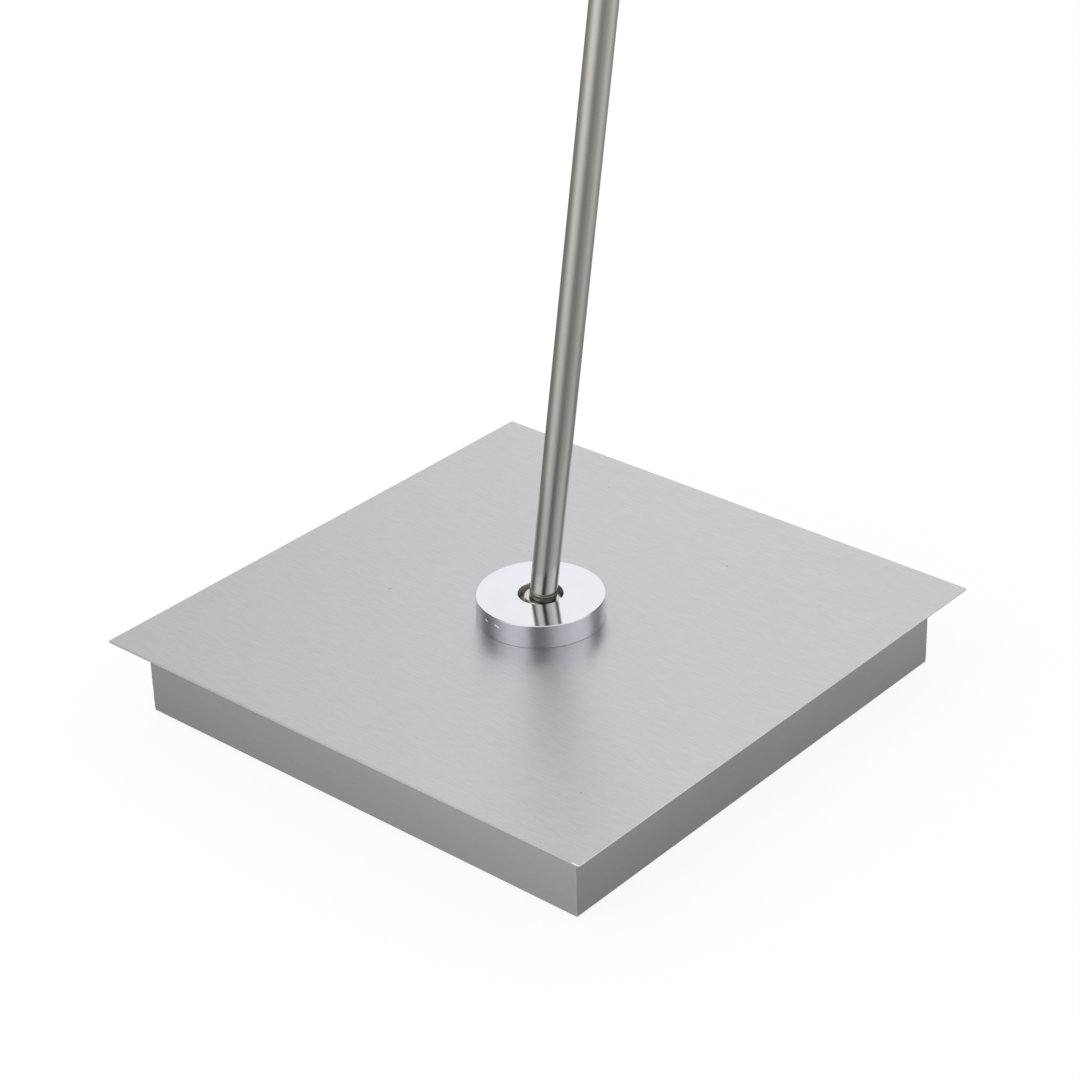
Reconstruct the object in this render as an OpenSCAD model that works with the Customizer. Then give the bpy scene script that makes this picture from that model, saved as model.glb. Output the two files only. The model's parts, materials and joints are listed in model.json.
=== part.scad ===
// Office floor lamp: weighted square base, ball joint under a collar, leaning pole and a slim light head.
// The origin is on the floor under the middle of the base. Lengths are in millimetres.

/* [Base] */
// Side of the square top plate
plate_side = 280; // [268:2:320]
// Thickness of the top plate
plate_t = 1; // [0.8:0.1:3]
// Corner radius of the top plate
plate_corner_r = 0.7; // [0.5:0.1:8]
// Side of the folded box under the plate
box_side = 254.6; // [244:0.2:262]
// Height of the box's skirt
box_h = 37.5; // [36:0.5:60]
// Sheet thickness of the box
sheet_t = 1.2; // [0.8:0.1:1.6]
// Open seam where two skirts meet
seam_gap = 0.2; // [0.1:0.1:0.8]
// Thickness of the bottom cover
cover_t = 1; // [0.8:0.1:1.5]
// How far the cover lies inside the skirt
cover_recess = 2; // [1.5:0.1:3]
// Play between the cover and the skirt
cover_play = 0.3; // [0.1:0.1:1]
// How far the feet stand out below the skirt
foot_proud = 1.5; // [1:0.1:4]
// Radius of a rubber foot
foot_r = 10; // [8:0.5:14]
// Distance from the box's side to the middle of a foot
foot_inset = 22; // [18:1:30]

/* [Ballast] */
// Side of the steel weight
ballast_side = 230; // [226:1:236]
// Thickness of the steel weight
ballast_t = 16; // [12:0.5:17]
// Space round the pressure plate in the weight's hole
ballast_hole_play = 1; // [0.5:0.5:4]
// Radius of a weld stud that holds the weight
weld_stud_r = 2.5; // [2:0.1:3]
// How far a weld stud reaches into its nut
weld_stud_grip = 6; // [4:0.5:8]
// Width across the flats of a long nut
long_nut_af = 10; // [9:0.5:12]

/* [Collar and ball joint] */
// Radius of the collar
collar_r = 30; // [28:0.5:36]
// Height of the collar
collar_h = 11.5; // [11:0.5:14]
// Chamfer on the collar's top edges
collar_chamfer = 0.5; // [0.2:0.1:1]
// Chamfer round the collar's mouth
mouth_chamfer = 0.2; // [0.1:0.1:1]
// Radius of the collar's mouth
neck_r = 10.5; // [10.3:0.1:11]
// Radius of the ball
ball_r = 12.5; // [12.3:0.1:13.5]
// Radius of the flat on top of the ball
ball_flat_r = 8.4; // [8:0.1:8.8]
// Radius of the flat under the ball
ball_low_flat_r = 8.6; // [8.2:0.1:9]
// Depth of the ball's flat below the collar's top
ball_drop = 1.7; // [1.2:0.1:2.2]
// Gap between the ball and its sockets
ball_play = 0.3; // [0.2:0.05:0.4]
// Wall of the ball's seat
seat_wall = 3.2; // [2.5:0.1:4]
// Radius of the hole through the seat
seat_hole_r = 11; // [10.8:0.1:11.4]
// Depth of the seat's underside below the ball's middle
seat_depth = 12.2; // [11:0.1:14]
// Gap between the seat and the box above it
seat_play = 0.5; // [0.3:0.1:1]
// Thickness of the pressure plate
press_t = 3; // [2:0.5:4]
// Land outside the screws on the pressure plate
press_land = 4.5; // [4:0.5:6]
// Gap between the seat and the tension screws
screw_land = 1; // [0.5:0.1:2]

/* [Screws of the joint] */
// Radius of the collar's and tension screws
screw_r = 2; // [1.5:0.1:2.2]
// Radius of a screw's head
screw_head_r = 3.5; // [3:0.1:3.8]
// Height of a screw's head
screw_head_h = 2.6; // [2:0.1:3.2]
// How far the screws reach into the collar
screw_grip = 6; // [4:0.5:7]
// Space round a screw in a plain hole
screw_play = 0.25; // [0.1:0.05:0.5]
// Space round a thread in its nut or hole
thread_play = 0.05; // [0.02:0.01:0.1]
// Screws of each kind in the collar
screw_count = 3; // [3:1:3]
// Thickness of a disc spring
disc_t = 0.5; // [0.4:0.05:0.7]
// Rise of a disc spring's cone
disc_rise = 0.4; // [0.2:0.05:0.6]
// Radius of a disc spring
disc_r = 4; // [3.6:0.1:4.4]
// Disc springs on each tension screw
disc_count = 2; // [1:1:3]

/* [Pole] */
// Lean of the pole from upright, in degrees
lean_deg = 6.5; // [0:0.5:11]
// Direction of the lean round the base, in degrees
lean_dir = -50; // [-180:5:180]
// Radius of the pole
pole_r = 6.35; // [6.2:0.05:7]
// Wall of the pole's tubes
tube_t = 1; // [0.8:0.1:1.2]
// Length of the lower tube
lower_len = 700; // [500:10:900]
// Length of the upper tube
upper_len = 690; // [400:10:900]
// Play of a spigot in the tube
spigot_play = 0.05; // [0.02:0.01:0.1]
// Length of a spigot in the tube
spigot_len = 25; // [20:1:40]
// Visible length of the pole's foot
foot_len = 3.2; // [2.6:0.1:8]
// Rounding at the pole's foot
foot_round = 0.7; // [0.3:0.1:1]
// Width and depth of the ring line on the foot
ring_line = 0.25; // [0.1:0.05:0.4]
// Visible width of the joiner's ring
joiner_ring = 2; // [1:0.5:6]
// Radius of the hollow stud
stud_r = 4; // [3.6:0.1:4.3]
// Radius of the stud's bore
stud_bore_r = 2.5; // [2.2:0.1:2.7]
// How far the stud reaches into the pole's foot
stud_grip = 18; // [12:1:24]
// How far the stud stands out below its nut
stud_tail = 2; // [1:0.5:3]
// Height of the stud's nut
stud_nut_h = 3; // [2.5:0.1:3.4]
// Width across the flats of the stud's nut
stud_nut_af = 13; // [12:0.5:13]
// Thickness of the stud's washer
stud_washer_t = 1; // [0.8:0.1:1.2]
// Radius of the lead inside the pole
lead_r = 1.8; // [1.2:0.1:2]

/* [Swivel] */
// Radius of the socket and the swivel
swivel_r = 9; // [8.8:0.1:10]
// Height of the socket on the pole
socket_h = 26; // [24:1:36]
// Radius of the swivel's spigot
swivel_pin_r = 5; // [4.8:0.1:5.2]
// Length of the swivel's spigot
swivel_pin_len = 19; // [17:0.5:21]
// Running play of the swivel's spigot
swivel_play = 0.05; // [0.02:0.01:0.1]
// Radius of the set screw that holds the swivel
set_screw_r = 1.5; // [1.2:0.1:1.8]
// Depth of the groove for the set screw
groove_depth = 1; // [0.8:0.1:1.3]
// Thickness of the thrust washer
thrust_t = 1; // [0.6:0.1:1.5]
// Height of the fork's round foot
fork_foot_h = 6; // [5:0.5:10]
// Height of the hinge above the fork's foot
hinge_rise = 15; // [14:0.5:18]
// Thickness of each ear of the fork
ear_t = 4; // [3.5:0.1:4.5]

/* [Hinge] */
// Radius of the tongue's eye
eye_r = 8; // [7.5:0.1:8.5]
// Thickness of the tongue
tongue_t = 6; // [5:0.5:6.5]
// Thickness of a friction washer
friction_t = 0.9; // [0.6:0.1:1.2]
// Radius of the hinge bolt
bolt_r = 3; // [2.5:0.1:3.2]
// Running play of the tongue on its bolt
bolt_play = 0.05; // [0.02:0.01:0.1]
// Radius of the hinge bolt's head
bolt_head_r = 5.5; // [5:0.1:6]
// Height of the hinge bolt's head
bolt_head_h = 3; // [2:0.1:4]
// Width across the flats of the cap nut
cap_nut_af = 10; // [10:0.5:11]
// Height of the cap nut's flats
cap_nut_h = 4; // [3:0.5:5]
// Height of the tongue's arm
arm_h = 9; // [8:0.5:10]
// Distance from the hinge to the tongue's flange
arm_len = 24; // [20:1:40]
// Thickness of the tongue's flange
flange_t = 4; // [3:0.5:5]
// Width of the tongue's flange
flange_w = 38; // [34:1:44]

/* [Light head] */
// Length of the head's housing
head_len = 400; // [300:10:500]
// Width of the head's housing
head_w = 62; // [58:1:70]
// Height of the head's housing
head_h = 14; // [14:0.5:18]
// Wall of the housing's top
head_top_t = 2; // [1.6:0.1:2.5]
// Wall of the housing's sides
head_side_t = 1.8; // [1.6:0.1:2.2]
// Corner radius of the housing
head_corner_r = 2.5; // [1.5:0.1:3]
// Thickness of an end cap
cap_t = 4; // [3:0.5:6]
// Thickness of the diffuser
diffuser_t = 2; // [1.5:0.1:2.5]
// Depth of the diffuser's grooves
diffuser_groove = 0.9; // [0.6:0.1:1]
// Play of the diffuser in its grooves
diffuser_play = 0.1; // [0.05:0.05:0.2]
// Height of the lip under the diffuser
diffuser_lip = 1.4; // [1.2:0.1:2]
// Radius of a screw boss in the housing
boss_r = 2.8; // [2.4:0.1:3]
// Radius of an end cap screw
cap_screw_r = 1.2; // [1:0.1:1.4]
// Length of an end cap screw in its boss
cap_screw_grip = 8; // [5:1:12]
// Width of the lighting board
board_w = 42; // [30:1:46]
// Thickness of the lighting board
board_t = 1.6; // [1:0.1:2]
// Side of a light chip
chip_side = 3.5; // [3:0.1:5]
// Height of a light chip
chip_h = 0.9; // [0.6:0.1:1.2]
// Light chips along the board
chip_count = 18; // [10:1:24]

/* [Dimmer button] */
// Radius of the button
button_r = 6; // [5:0.1:7]
// How far the button stands out
button_proud = 1.5; // [1.4:0.1:2.5]
// Travel of the button
button_travel = 1; // [0.8:0.1:1.2]
// Space round the button
button_play = 0.2; // [0.1:0.05:0.3]
// Width of the button's hidden flange
button_flange = 1.5; // [1:0.1:2]
// Distance from the housing's end to the button
button_inset = 22; // [16:1:28]
// Thickness of the button's hidden flange
button_flange_t = 1; // [0.8:0.1:1.2]
// Radius of the button's stem
stem_r = 1.5; // [1:0.1:2]

/* [Wiring] */
// Radius of the cord's way through the gland
gland_bore_r = 3.2; // [2.5:0.1:4]
// Radius of the gland's thread
gland_r = 6; // [5.5:0.1:6.5]
// Radius of the gland's flange
gland_flange_r = 8; // [7.5:0.1:8.5]
// Thickness of the gland's flange
gland_flange_t = 2.5; // [2:0.1:3]
// Thickness of the gland's nut
gland_nut_t = 3; // [2.5:0.1:4]
// Width across the flats of the gland's nut
gland_nut_af = 14; // [13.5:0.1:14]
// Length of the driver
driver_len = 110; // [90:5:120]
// Width of the driver
driver_w = 46; // [40:1:50]
// Height of the driver
driver_h = 14; // [10:0.5:15]
// Length of the terminal block
block_len = 30; // [26:1:36]
// Width of the terminal block
block_w = 16; // [14:1:20]
// Height of the terminal block
block_h = 12; // [10:0.5:14]
// Radius of a wire
wire_r = 1.1; // [0.8:0.1:1.2]
// Radius of the lead through the swivel
head_lead_r = 1.4; // [1:0.1:1.6]
// Distance between neighbouring runs of the mains wires
wire_pitch = 8.5; // [6:0.5:10]
// Steps in each span of a wire's curve
wire_steps = 5; // [3:1:8]
// Sides of a wire
wire_sides = 8; // [6:1:12]

/* [Hidden] */
$fn = 96;

// Overrun of every cut
over = 1;
// Clearance between parts that only pass each other
clear = 0.3;

// Small sizes of single pieces
foot_hole_r = 4.2;
foot_flange_t = 1.2;
foot_chamfer = 0.8;
lead_flare = 2;
cover_screw_grip = 6;
driver_gap = 16;
driver_y_share = 0.18;
block_gap = 16;
block_x_share = 0.35;
driver_screw_r = 1.5;
driver_screw_grip = 5;
driver_ear_t = 2;
driver_ear_len = 9;
thread_tail = 1.5;
groove_up = 6;
spring_t = 0.8;
ear_seat_depth = 0.8;
board_gap = 14;
board_end_gap = 6;
switch_wall = 2;
wire_hole_y = 8;
flange_screw_y = 14;
flange_screw_r = 1.5;
flange_screw_head_r = 2.8;
flange_screw_head_h = 1.8;
washer_play = 0.1;

// Heights in the base
skirt_z = foot_proud;
box_top_z = skirt_z + box_h;
plate_top_z = box_top_z + plate_t;
collar_top_z = plate_top_z + collar_h;
sheet_under_z = box_top_z - sheet_t;
ballast_z = sheet_under_z - ballast_t;
cover_z = skirt_z + cover_recess;
cover_top_z = cover_z + cover_t;
long_nut_h = ballast_z - cover_top_z;

// The ball joint turns about this height
ball_flat_up = sqrt(ball_r * ball_r - ball_flat_r * ball_flat_r);
ball_flat_down = sqrt(ball_r * ball_r - ball_low_flat_r * ball_low_flat_r);
pivot_z = collar_top_z - ball_drop - ball_flat_up;
cup_r = ball_r + ball_play;
seat_r = cup_r + seat_wall;
seat_top_z = sheet_under_z - seat_play;
seat_z = pivot_z - seat_depth;
press_z = seat_z - press_t;
screw_circle_r = seat_r + screw_land + screw_head_r;
press_r = screw_circle_r + press_land;
ballast_hole_r = press_r + ballast_hole_play;
disc_h = disc_t + disc_rise;
tension_head_z = press_z - disc_count * disc_h;

// Places in the base
foot_xy = box_side / 2 - foot_inset;
corner_signs = [[-1, -1], [1, -1], [1, 1], [-1, 1]];
cover_side = box_side - 2 * sheet_t - 2 * cover_play;
gland_z = (cover_top_z + ballast_z) / 2;
back_y = box_side / 2;
gland_in_y = back_y - sheet_t - gland_nut_t;
driver_x = ballast_hole_r + driver_w / 2 + driver_gap;
driver_y = driver_len * driver_y_share;
driver_screw_y = driver_len / 2 - driver_ear_len / 2;
block_x = -block_len * block_x_share;
block_wire_z = ballast_z - block_h / 2;
block_y = gland_in_y - block_gap - block_w / 2;
screw_step = 360 / screw_count;

// Heights along the pole, measured from the ball's middle
stud_washer_z = -ball_flat_down - stud_washer_t;
stud_nut_z = stud_washer_z - stud_nut_h;
stud_z = stud_nut_z - stud_tail;
tube_in_r = pole_r - tube_t;
spigot_r = tube_in_r - spigot_play;
lower_z = ball_flat_up + foot_len;
joiner_z = lower_z + lower_len;
upper_z = joiner_z + joiner_ring;
socket_z = upper_z + upper_len;
socket_top = socket_z + socket_h;
fork_z = socket_top + thrust_t;
fork_floor = fork_z + fork_foot_h;
hinge_z = fork_floor + hinge_rise;
swivel_pin_z = socket_top - swivel_pin_len;
groove_z = swivel_pin_z + groove_up;
ear_gap = tongue_t + 2 * (friction_t + washer_play);
// The hinge bolt's head and nut sit on flats cut in the ears
bolt_seat_y = ear_gap / 2 + ear_t - ear_seat_depth;
lead_way_r = lead_r + clear;

// Distances in the light head, measured from the hinge
wire_in_z = -arm_h / 4;
rear_cap_x = arm_len + flange_t;
housing_x = rear_cap_x + cap_t;
front_cap_x = housing_x + head_len;
top_under_z = head_h / 2 - head_top_t;
diffuser_z = -head_h / 2 + diffuser_lip;
board_z = top_under_z - board_t;
board_x = housing_x + button_inset + button_r + board_gap;
board_len = front_cap_x - board_end_gap - board_x;
boss_y = head_w / 2 - head_side_t - boss_r / 2;
boss_z = top_under_z - boss_r / 2;
button_x = housing_x + button_inset;
button_flange_z = top_under_z - diffuser_play - button_flange_t;
switch_r = button_r + button_flange + switch_wall;
switch_floor_z = button_flange_z - button_travel - clear;
switch_z = diffuser_z + diffuser_t + clear;

// The way a line of points runs at one of them, halfway between its two neighbours' ways
function unit(v) = v / norm(v);
function way(p, i) =
  let (before = unit(p[max(i, 1)] - p[max(i, 1) - 1]), last = len(p) - 1,
    after = unit(p[min(i + 1, last)] - p[min(i + 1, last) - 1]))
  unit(before + after);

// A smooth curve through the points of a route, with wire_steps steps to a span
function curve_point(p, i, t) =
  let (b = p[i], c = p[i + 1], reach = norm(c - b), from = reach * way(p, i), to = reach * way(p, i + 1))
  b + from * t + (3 * (c - b) - 2 * from - to) * t * t + (2 * (b - c) + from + to) * t * t * t;
function curve(p) = [
  for (i = [0 : len(p) - 2], k = [0 : wire_steps - 1]) curve_point(p, i, k / wire_steps),
  p[len(p) - 1]];

// A wire along a route that never runs along the vector side
module wire(route, r, side) {
  p = curve(route);
  n = len(p);
  m = wire_sides;
  rings = [for (i = [0 : n - 1])
    let (w = way(p, i), u = unit(cross(w, side)), v = cross(w, u))
    for (k = [0 : m - 1]) p[i] + r * (cos(k * 360 / m) * u + sin(k * 360 / m) * v)];
  skin = [for (i = [0 : n - 2], k = [0 : m - 1])
    let (a = i * m + k, b = i * m + (k + 1) % m, c = b + m, d = a + m)
    for (face = [[a, d, c], [a, c, b]]) face];
  start_cap = [for (k = [1 : m - 2]) [0, k, k + 1]];
  end_cap = [for (k = [1 : m - 2]) [(n - 1) * m, (n - 1) * m + k + 1, (n - 1) * m + k]];
  polyhedron(points = rings, faces = concat(skin, start_cap, end_cap));
}

// A flat rectangle with round corners, centred
module round_rect(w, h, r) {
  square([w - 2 * r, h], center = true);
  square([w, h - 2 * r], center = true);
  for (sx = [-1, 1], sy = [-1, 1]) translate([sx * (w / 2 - r), sy * (h / 2 - r)]) circle(r = r);
}

// Children at each foot
module at_feet() {
  for (s = corner_signs) translate([s[0] * foot_xy, s[1] * foot_xy, 0]) children();
}

// Children at the collar's own screws
module at_collar_screws() {
  for (i = [0 : screw_count - 1]) rotate([0, 0, i * screw_step]) translate([screw_circle_r, 0, 0]) children();
}

// Children at the tension screws, halfway between the others
module at_tension_screws() {
  rotate([0, 0, screw_step / 2]) at_collar_screws() children();
}

// The pole's own frame: the ball's middle, with Z along the pole
module on_pole() {
  translate([0, 0, pivot_z]) rotate([0, lean_deg, lean_dir]) children();
}

// The head's own frame: the hinge, with X along the head and Z upright
module on_head() {
  on_pole() translate([0, 0, hinge_z]) rotate([0, -lean_deg, 0]) children();
}

// A round part that lies along Y, from y to y + len
module along_y(y, len, r) {
  translate([0, y, 0]) rotate([-90, 0, 0]) cylinder(h = len, r = r);
}

// Nut or hexagon with its flats af apart
module hexagon(af, h) {
  cylinder(h = h, r = af / sqrt(3), $fn = 6);
}

// Holes that the plate and the box share
module joint_holes(z, h) {
  translate([0, 0, z - over]) cylinder(h = h + 2 * over, r = cup_r + seat_play);
  at_collar_screws() translate([0, 0, z - over]) cylinder(h = h + 2 * over, r = screw_r + screw_play);
  at_tension_screws() translate([0, 0, z - over]) cylinder(h = h + 2 * over, r = screw_r + screw_play);
}

module top_plate() {
  color("#c3c3c6") difference() {
    translate([0, 0, box_top_z]) linear_extrude(plate_t) round_rect(plate_side, plate_side, plate_corner_r);
    joint_holes(box_top_z, plate_t);
  }
}

module tray() {
  inner = box_side - 2 * sheet_t;
  color("#a9aaac") difference() {
    union() {
      difference() {
        translate([0, 0, skirt_z + box_h / 2]) cube([box_side, box_side, box_h], center = true);
        translate([0, 0, sheet_under_z / 2]) cube([inner, inner, sheet_under_z], center = true);
        for (i = [0 : 3]) rotate([0, 0, 45 + 90 * i])
          translate([inner / sqrt(2) - sheet_t, -seam_gap / 2, 0])
          cube([sheet_t * 4, seam_gap, sheet_under_z]);
      }
      at_feet() translate([0, 0, ballast_z - weld_stud_grip])
        cylinder(h = ballast_t + weld_stud_grip, r = weld_stud_r);
    }
    joint_holes(sheet_under_z, sheet_t);
    translate([0, back_y - sheet_t / 2, gland_z]) along_y(-sheet_t, 2 * sheet_t, gland_r + thread_play);
  }
}

module ballast() {
  color("#5a5a5c") difference() {
    translate([0, 0, ballast_z + ballast_t / 2]) cube([ballast_side, ballast_side, ballast_t], center = true);
    translate([0, 0, ballast_z - over]) cylinder(h = ballast_t + 2 * over, r = ballast_hole_r);
    at_feet() translate([0, 0, ballast_z - over])
      cylinder(h = ballast_t + 2 * over, r = weld_stud_r + screw_play);
    driver_holes(ballast_z, driver_screw_grip, driver_screw_r + thread_play);
    block_hole(ballast_z, driver_screw_grip, driver_screw_r + thread_play);
  }
}

module long_nuts() {
  color("#9c9c98") at_feet() difference() {
    translate([0, 0, cover_top_z]) hexagon(long_nut_af, long_nut_h);
    translate([0, 0, ballast_z - weld_stud_grip - over])
      cylinder(h = weld_stud_grip + 2 * over, r = weld_stud_r + thread_play);
    translate([0, 0, cover_top_z - over])
      cylinder(h = cover_screw_grip + 2 * over, r = screw_r + thread_play);
  }
}

module bottom_cover() {
  color("#77787a") difference() {
    translate([0, 0, cover_z + cover_t / 2]) cube([cover_side, cover_side, cover_t], center = true);
    at_feet() translate([0, 0, cover_z - over]) cylinder(h = cover_t + 2 * over, r = screw_r + screw_play);
  }
}

module cover_screws() {
  head_z = cover_z - foot_flange_t - screw_head_h / 2;
  color("#a0a09a") at_feet() {
    difference() {
      translate([0, 0, head_z]) cylinder(h = screw_head_h / 2, r = screw_head_r);
      translate([0, 0, head_z]) cube([screw_r * 2, screw_r / 2, screw_r / 2], center = true);
      translate([0, 0, head_z]) cube([screw_r / 2, screw_r * 2, screw_r / 2], center = true);
    }
    translate([0, 0, cover_z - foot_flange_t])
      cylinder(h = foot_flange_t + cover_t + cover_screw_grip, r = screw_r);
  }
}

// Profile of a foot from radius r outward
module foot_profile(r) {
  polygon([[r, 0], [foot_r - foot_chamfer, 0], [foot_r, foot_chamfer], [foot_r, cover_z], [r, cover_z]]);
}

// Four feet that the cover's screws hold, and a plain one under the middle
module rubber_feet() {
  color("#2a2a2b") {
    at_feet() rotate_extrude() {
      translate([screw_r + screw_play, cover_z - foot_flange_t])
        square([foot_hole_r - screw_r, foot_flange_t]);
      foot_profile(foot_hole_r);
    }
    rotate_extrude() foot_profile(0);
  }
}

// Profile of the collar round the ball, right of the axis
module collar_profile() {
  difference() {
    polygon([[0, plate_top_z], [collar_r, plate_top_z], [collar_r, collar_top_z - collar_chamfer],
      [collar_r - collar_chamfer, collar_top_z], [0, collar_top_z]]);
    square([neck_r, collar_top_z + over]);
    polygon([[neck_r - over, collar_top_z - mouth_chamfer - over],
      [neck_r + mouth_chamfer + over, collar_top_z + over], [neck_r - over, collar_top_z + over]]);
    translate([0, pivot_z]) circle(r = cup_r);
  }
}

module collar() {
  color("#e6e7ea") difference() {
    rotate_extrude($fn = 180) collar_profile();
    at_collar_screws() translate([0, 0, plate_top_z - over])
      cylinder(h = screw_grip + 2 * over, r = screw_r + thread_play);
    at_tension_screws() translate([0, 0, plate_top_z - over])
      cylinder(h = screw_grip + 2 * over, r = screw_r + thread_play);
  }
}

// A socket head screw that points up, with its head's top face at z
module cap_screw(z, len) {
  difference() {
    translate([0, 0, z - screw_head_h]) cylinder(h = screw_head_h, r = screw_head_r);
    translate([0, 0, z - screw_head_h - over]) hexagon(screw_r * 1.5, screw_head_h / 2 + over);
  }
  translate([0, 0, z]) cylinder(h = len, r = screw_r);
}

module collar_screws() {
  color("#8f8f8c") at_collar_screws() cap_screw(sheet_under_z, plate_top_z + screw_grip - sheet_under_z);
}

module pressure_plate() {
  color("#8f8f8c") difference() {
    translate([0, 0, press_z]) cylinder(h = press_t, r = press_r);
    translate([0, 0, press_z - over]) cylinder(h = press_t + 2 * over, r = seat_hole_r);
    at_tension_screws() translate([0, 0, press_z - over])
      cylinder(h = press_t + 2 * over, r = screw_r + screw_play);
    at_collar_screws() translate([0, 0, press_z - over])
      cylinder(h = press_t + 2 * over, r = screw_head_r + screw_play);
  }
}

module tension_screws() {
  color("#8f8f8c") at_tension_screws() cap_screw(tension_head_z, plate_top_z + screw_grip - tension_head_z);
}

module disc_springs() {
  hole = screw_r + screw_play;
  color("#3c3c3e") at_tension_screws() for (i = [0 : disc_count - 1]) {
    translate([0, 0, tension_head_z + i * disc_h]) rotate_extrude()
      if (i % 2 == 0)
        polygon([[hole, disc_rise], [disc_r, 0], [disc_r, disc_t], [hole, disc_h]]);
      else
        polygon([[hole, 0], [disc_r, disc_rise], [disc_r, disc_h], [hole, disc_t]]);
  }
}

module cord_gland() {
  color("#1f1f20") translate([0, 0, gland_z]) difference() {
    union() {
      along_y(back_y, gland_flange_t, gland_flange_r);
      along_y(gland_in_y - thread_tail, sheet_t + gland_nut_t + thread_tail, gland_r);
    }
    along_y(gland_in_y - thread_tail - over, sheet_t + gland_nut_t + thread_tail + gland_flange_t + 2 * over,
      gland_bore_r);
  }
}

module gland_nut() {
  color("#2b2b2c") translate([0, gland_in_y, gland_z]) difference() {
    rotate([-90, 0, 0]) rotate([0, 0, 30]) hexagon(gland_nut_af, gland_nut_t);
    along_y(-over, gland_nut_t + 2 * over, gland_r + thread_play);
  }
}

// Holes over the driver's two ears, from z upward
module driver_holes(z, h, r) {
  for (s = [-1, 1]) translate([driver_x, driver_y + s * driver_screw_y, z - over])
    cylinder(h = h + 2 * over, r = r);
}

// Hole over the middle of the terminal block
module block_hole(z, h, r) {
  translate([block_x, block_y, z - over]) cylinder(h = h + 2 * over, r = r);
}

module terminal_block() {
  color("#e8e6dc") difference() {
    translate([block_x, block_y, ballast_z - block_h / 2]) cube([block_len, block_w, block_h], center = true);
    translate([0, 0, -block_h]) block_hole(ballast_z, block_h, driver_screw_r + screw_play);
    for (s = [-1, 1]) translate([block_x + s * block_len / 3, block_y - block_w / 2 - over, block_wire_z])
      along_y(0, block_w + 2 * over, wire_r + clear);
  }
}

// A pan head screw that points up, with its head's top face at z
module pan_screw(z, len, r) {
  head_r = r * 2;
  difference() {
    translate([0, 0, z - r]) cylinder(h = r, r = head_r);
    translate([0, 0, z - r]) cube([head_r, r / 2, r / 2], center = true);
    translate([0, 0, z - r]) cube([r / 2, head_r, r / 2], center = true);
  }
  translate([0, 0, z]) cylinder(h = len, r = r);
}

module terminal_screws() {
  color("#a0a09a") translate([block_x, block_y, 0])
    pan_screw(ballast_z - block_h, block_h + driver_screw_grip, driver_screw_r);
}

module led_driver() {
  body_len = driver_len - 2 * driver_ear_len;
  color("#d9d9d6") translate([driver_x, driver_y, 0]) difference() {
    union() {
      translate([0, 0, ballast_z - driver_h / 2]) cube([driver_w, body_len, driver_h], center = true);
      translate([0, 0, ballast_z - driver_ear_t / 2])
        cube([driver_w, driver_len, driver_ear_t], center = true);
    }
    for (s = [-1, 1]) translate([0, s * driver_screw_y, ballast_z - driver_ear_t - over])
      cylinder(h = driver_ear_t + 2 * over, r = driver_screw_r + screw_play);
  }
}

module driver_screws() {
  color("#a0a09a") for (s = [-1, 1]) translate([driver_x, driver_y + s * driver_screw_y, 0])
    pan_screw(ballast_z - driver_ear_t, driver_ear_t + driver_screw_grip, driver_screw_r);
}

// Two wires from the terminal block to the driver's end
module mains_wires() {
  end_y = driver_y + driver_len / 2 - driver_ear_len + clear;
  driver_z = ballast_z - driver_h / 2;
  face_y = block_y - block_w / 2;
  color("#7a4a28") for (s = [-1, 1]) {
    x1 = block_x + s * block_len / 3;
    x2 = driver_x + s * driver_w / 6;
    run_y = face_y - wire_pitch * (3 - s) / 2;
    wire([[x1, block_y, block_wire_z], [x1, face_y, block_wire_z],
      [x1, face_y - wire_pitch / 3, block_wire_z],
      [x1 + wire_pitch / 4, run_y + wire_pitch / 4, block_wire_z], [x1 + wire_pitch, run_y, block_wire_z],
      [x2 - wire_pitch, run_y, driver_z], [x2 - wire_pitch / 4, run_y - wire_pitch / 4, driver_z],
      [x2, end_y + wire_pitch / 2, driver_z], [x2, end_y + wire_pitch / 4, driver_z], [x2, end_y, driver_z]],
      wire_r, [0, 0, 1]);
  }
}

// The lead between the pole and the driver, with slack for the pole's turn
module slack_lead() {
  pole_way = [sin(lean_deg) * cos(lean_dir), sin(lean_deg) * sin(lean_dir), cos(lean_deg)];
  start = [0, 0, pivot_z] + (stud_z - clear) * pole_way;
  low_z = cover_top_z + 3 * lead_r;
  end = [driver_x, driver_y - driver_len / 2 + driver_ear_len - clear, ballast_z - driver_h / 2];
  color("#1c1c1d") wire([start, start - lead_r * pole_way, start - 2 * lead_r * pole_way,
    [lead_r, -5 * lead_r, low_z + lead_r], [driver_x / 6, -press_r, low_z],
    [driver_x / 2, end[1] - driver_w / 2, low_z],
    [driver_x - 3 * lead_r, end[1] - driver_w / 2, end[2] - lead_r],
    [driver_x, end[1] - 6 * lead_r, end[2]], [driver_x, end[1] - 3 * lead_r, end[2]], end],
    lead_r, [1, 0.2, 0]);
}

module ball_seat() {
  color("#f2f2ee") rotate_extrude() difference() {
    translate([seat_hole_r, seat_z]) square([seat_r - seat_hole_r, seat_top_z - seat_z]);
    translate([0, pivot_z]) circle(r = cup_r);
  }
}

module pivot_ball() {
  color("#eceae6") on_pole() difference() {
    sphere(r = ball_r, $fn = 128);
    translate([0, 0, ball_flat_up + ball_r / 2]) cube([ball_r * 2, ball_r * 2, ball_r], center = true);
    translate([0, 0, -ball_flat_down - ball_r / 2]) cube([ball_r * 2, ball_r * 2, ball_r], center = true);
    translate([0, 0, -ball_r]) cylinder(h = ball_r * 2, r = stud_r + thread_play);
  }
}

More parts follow.
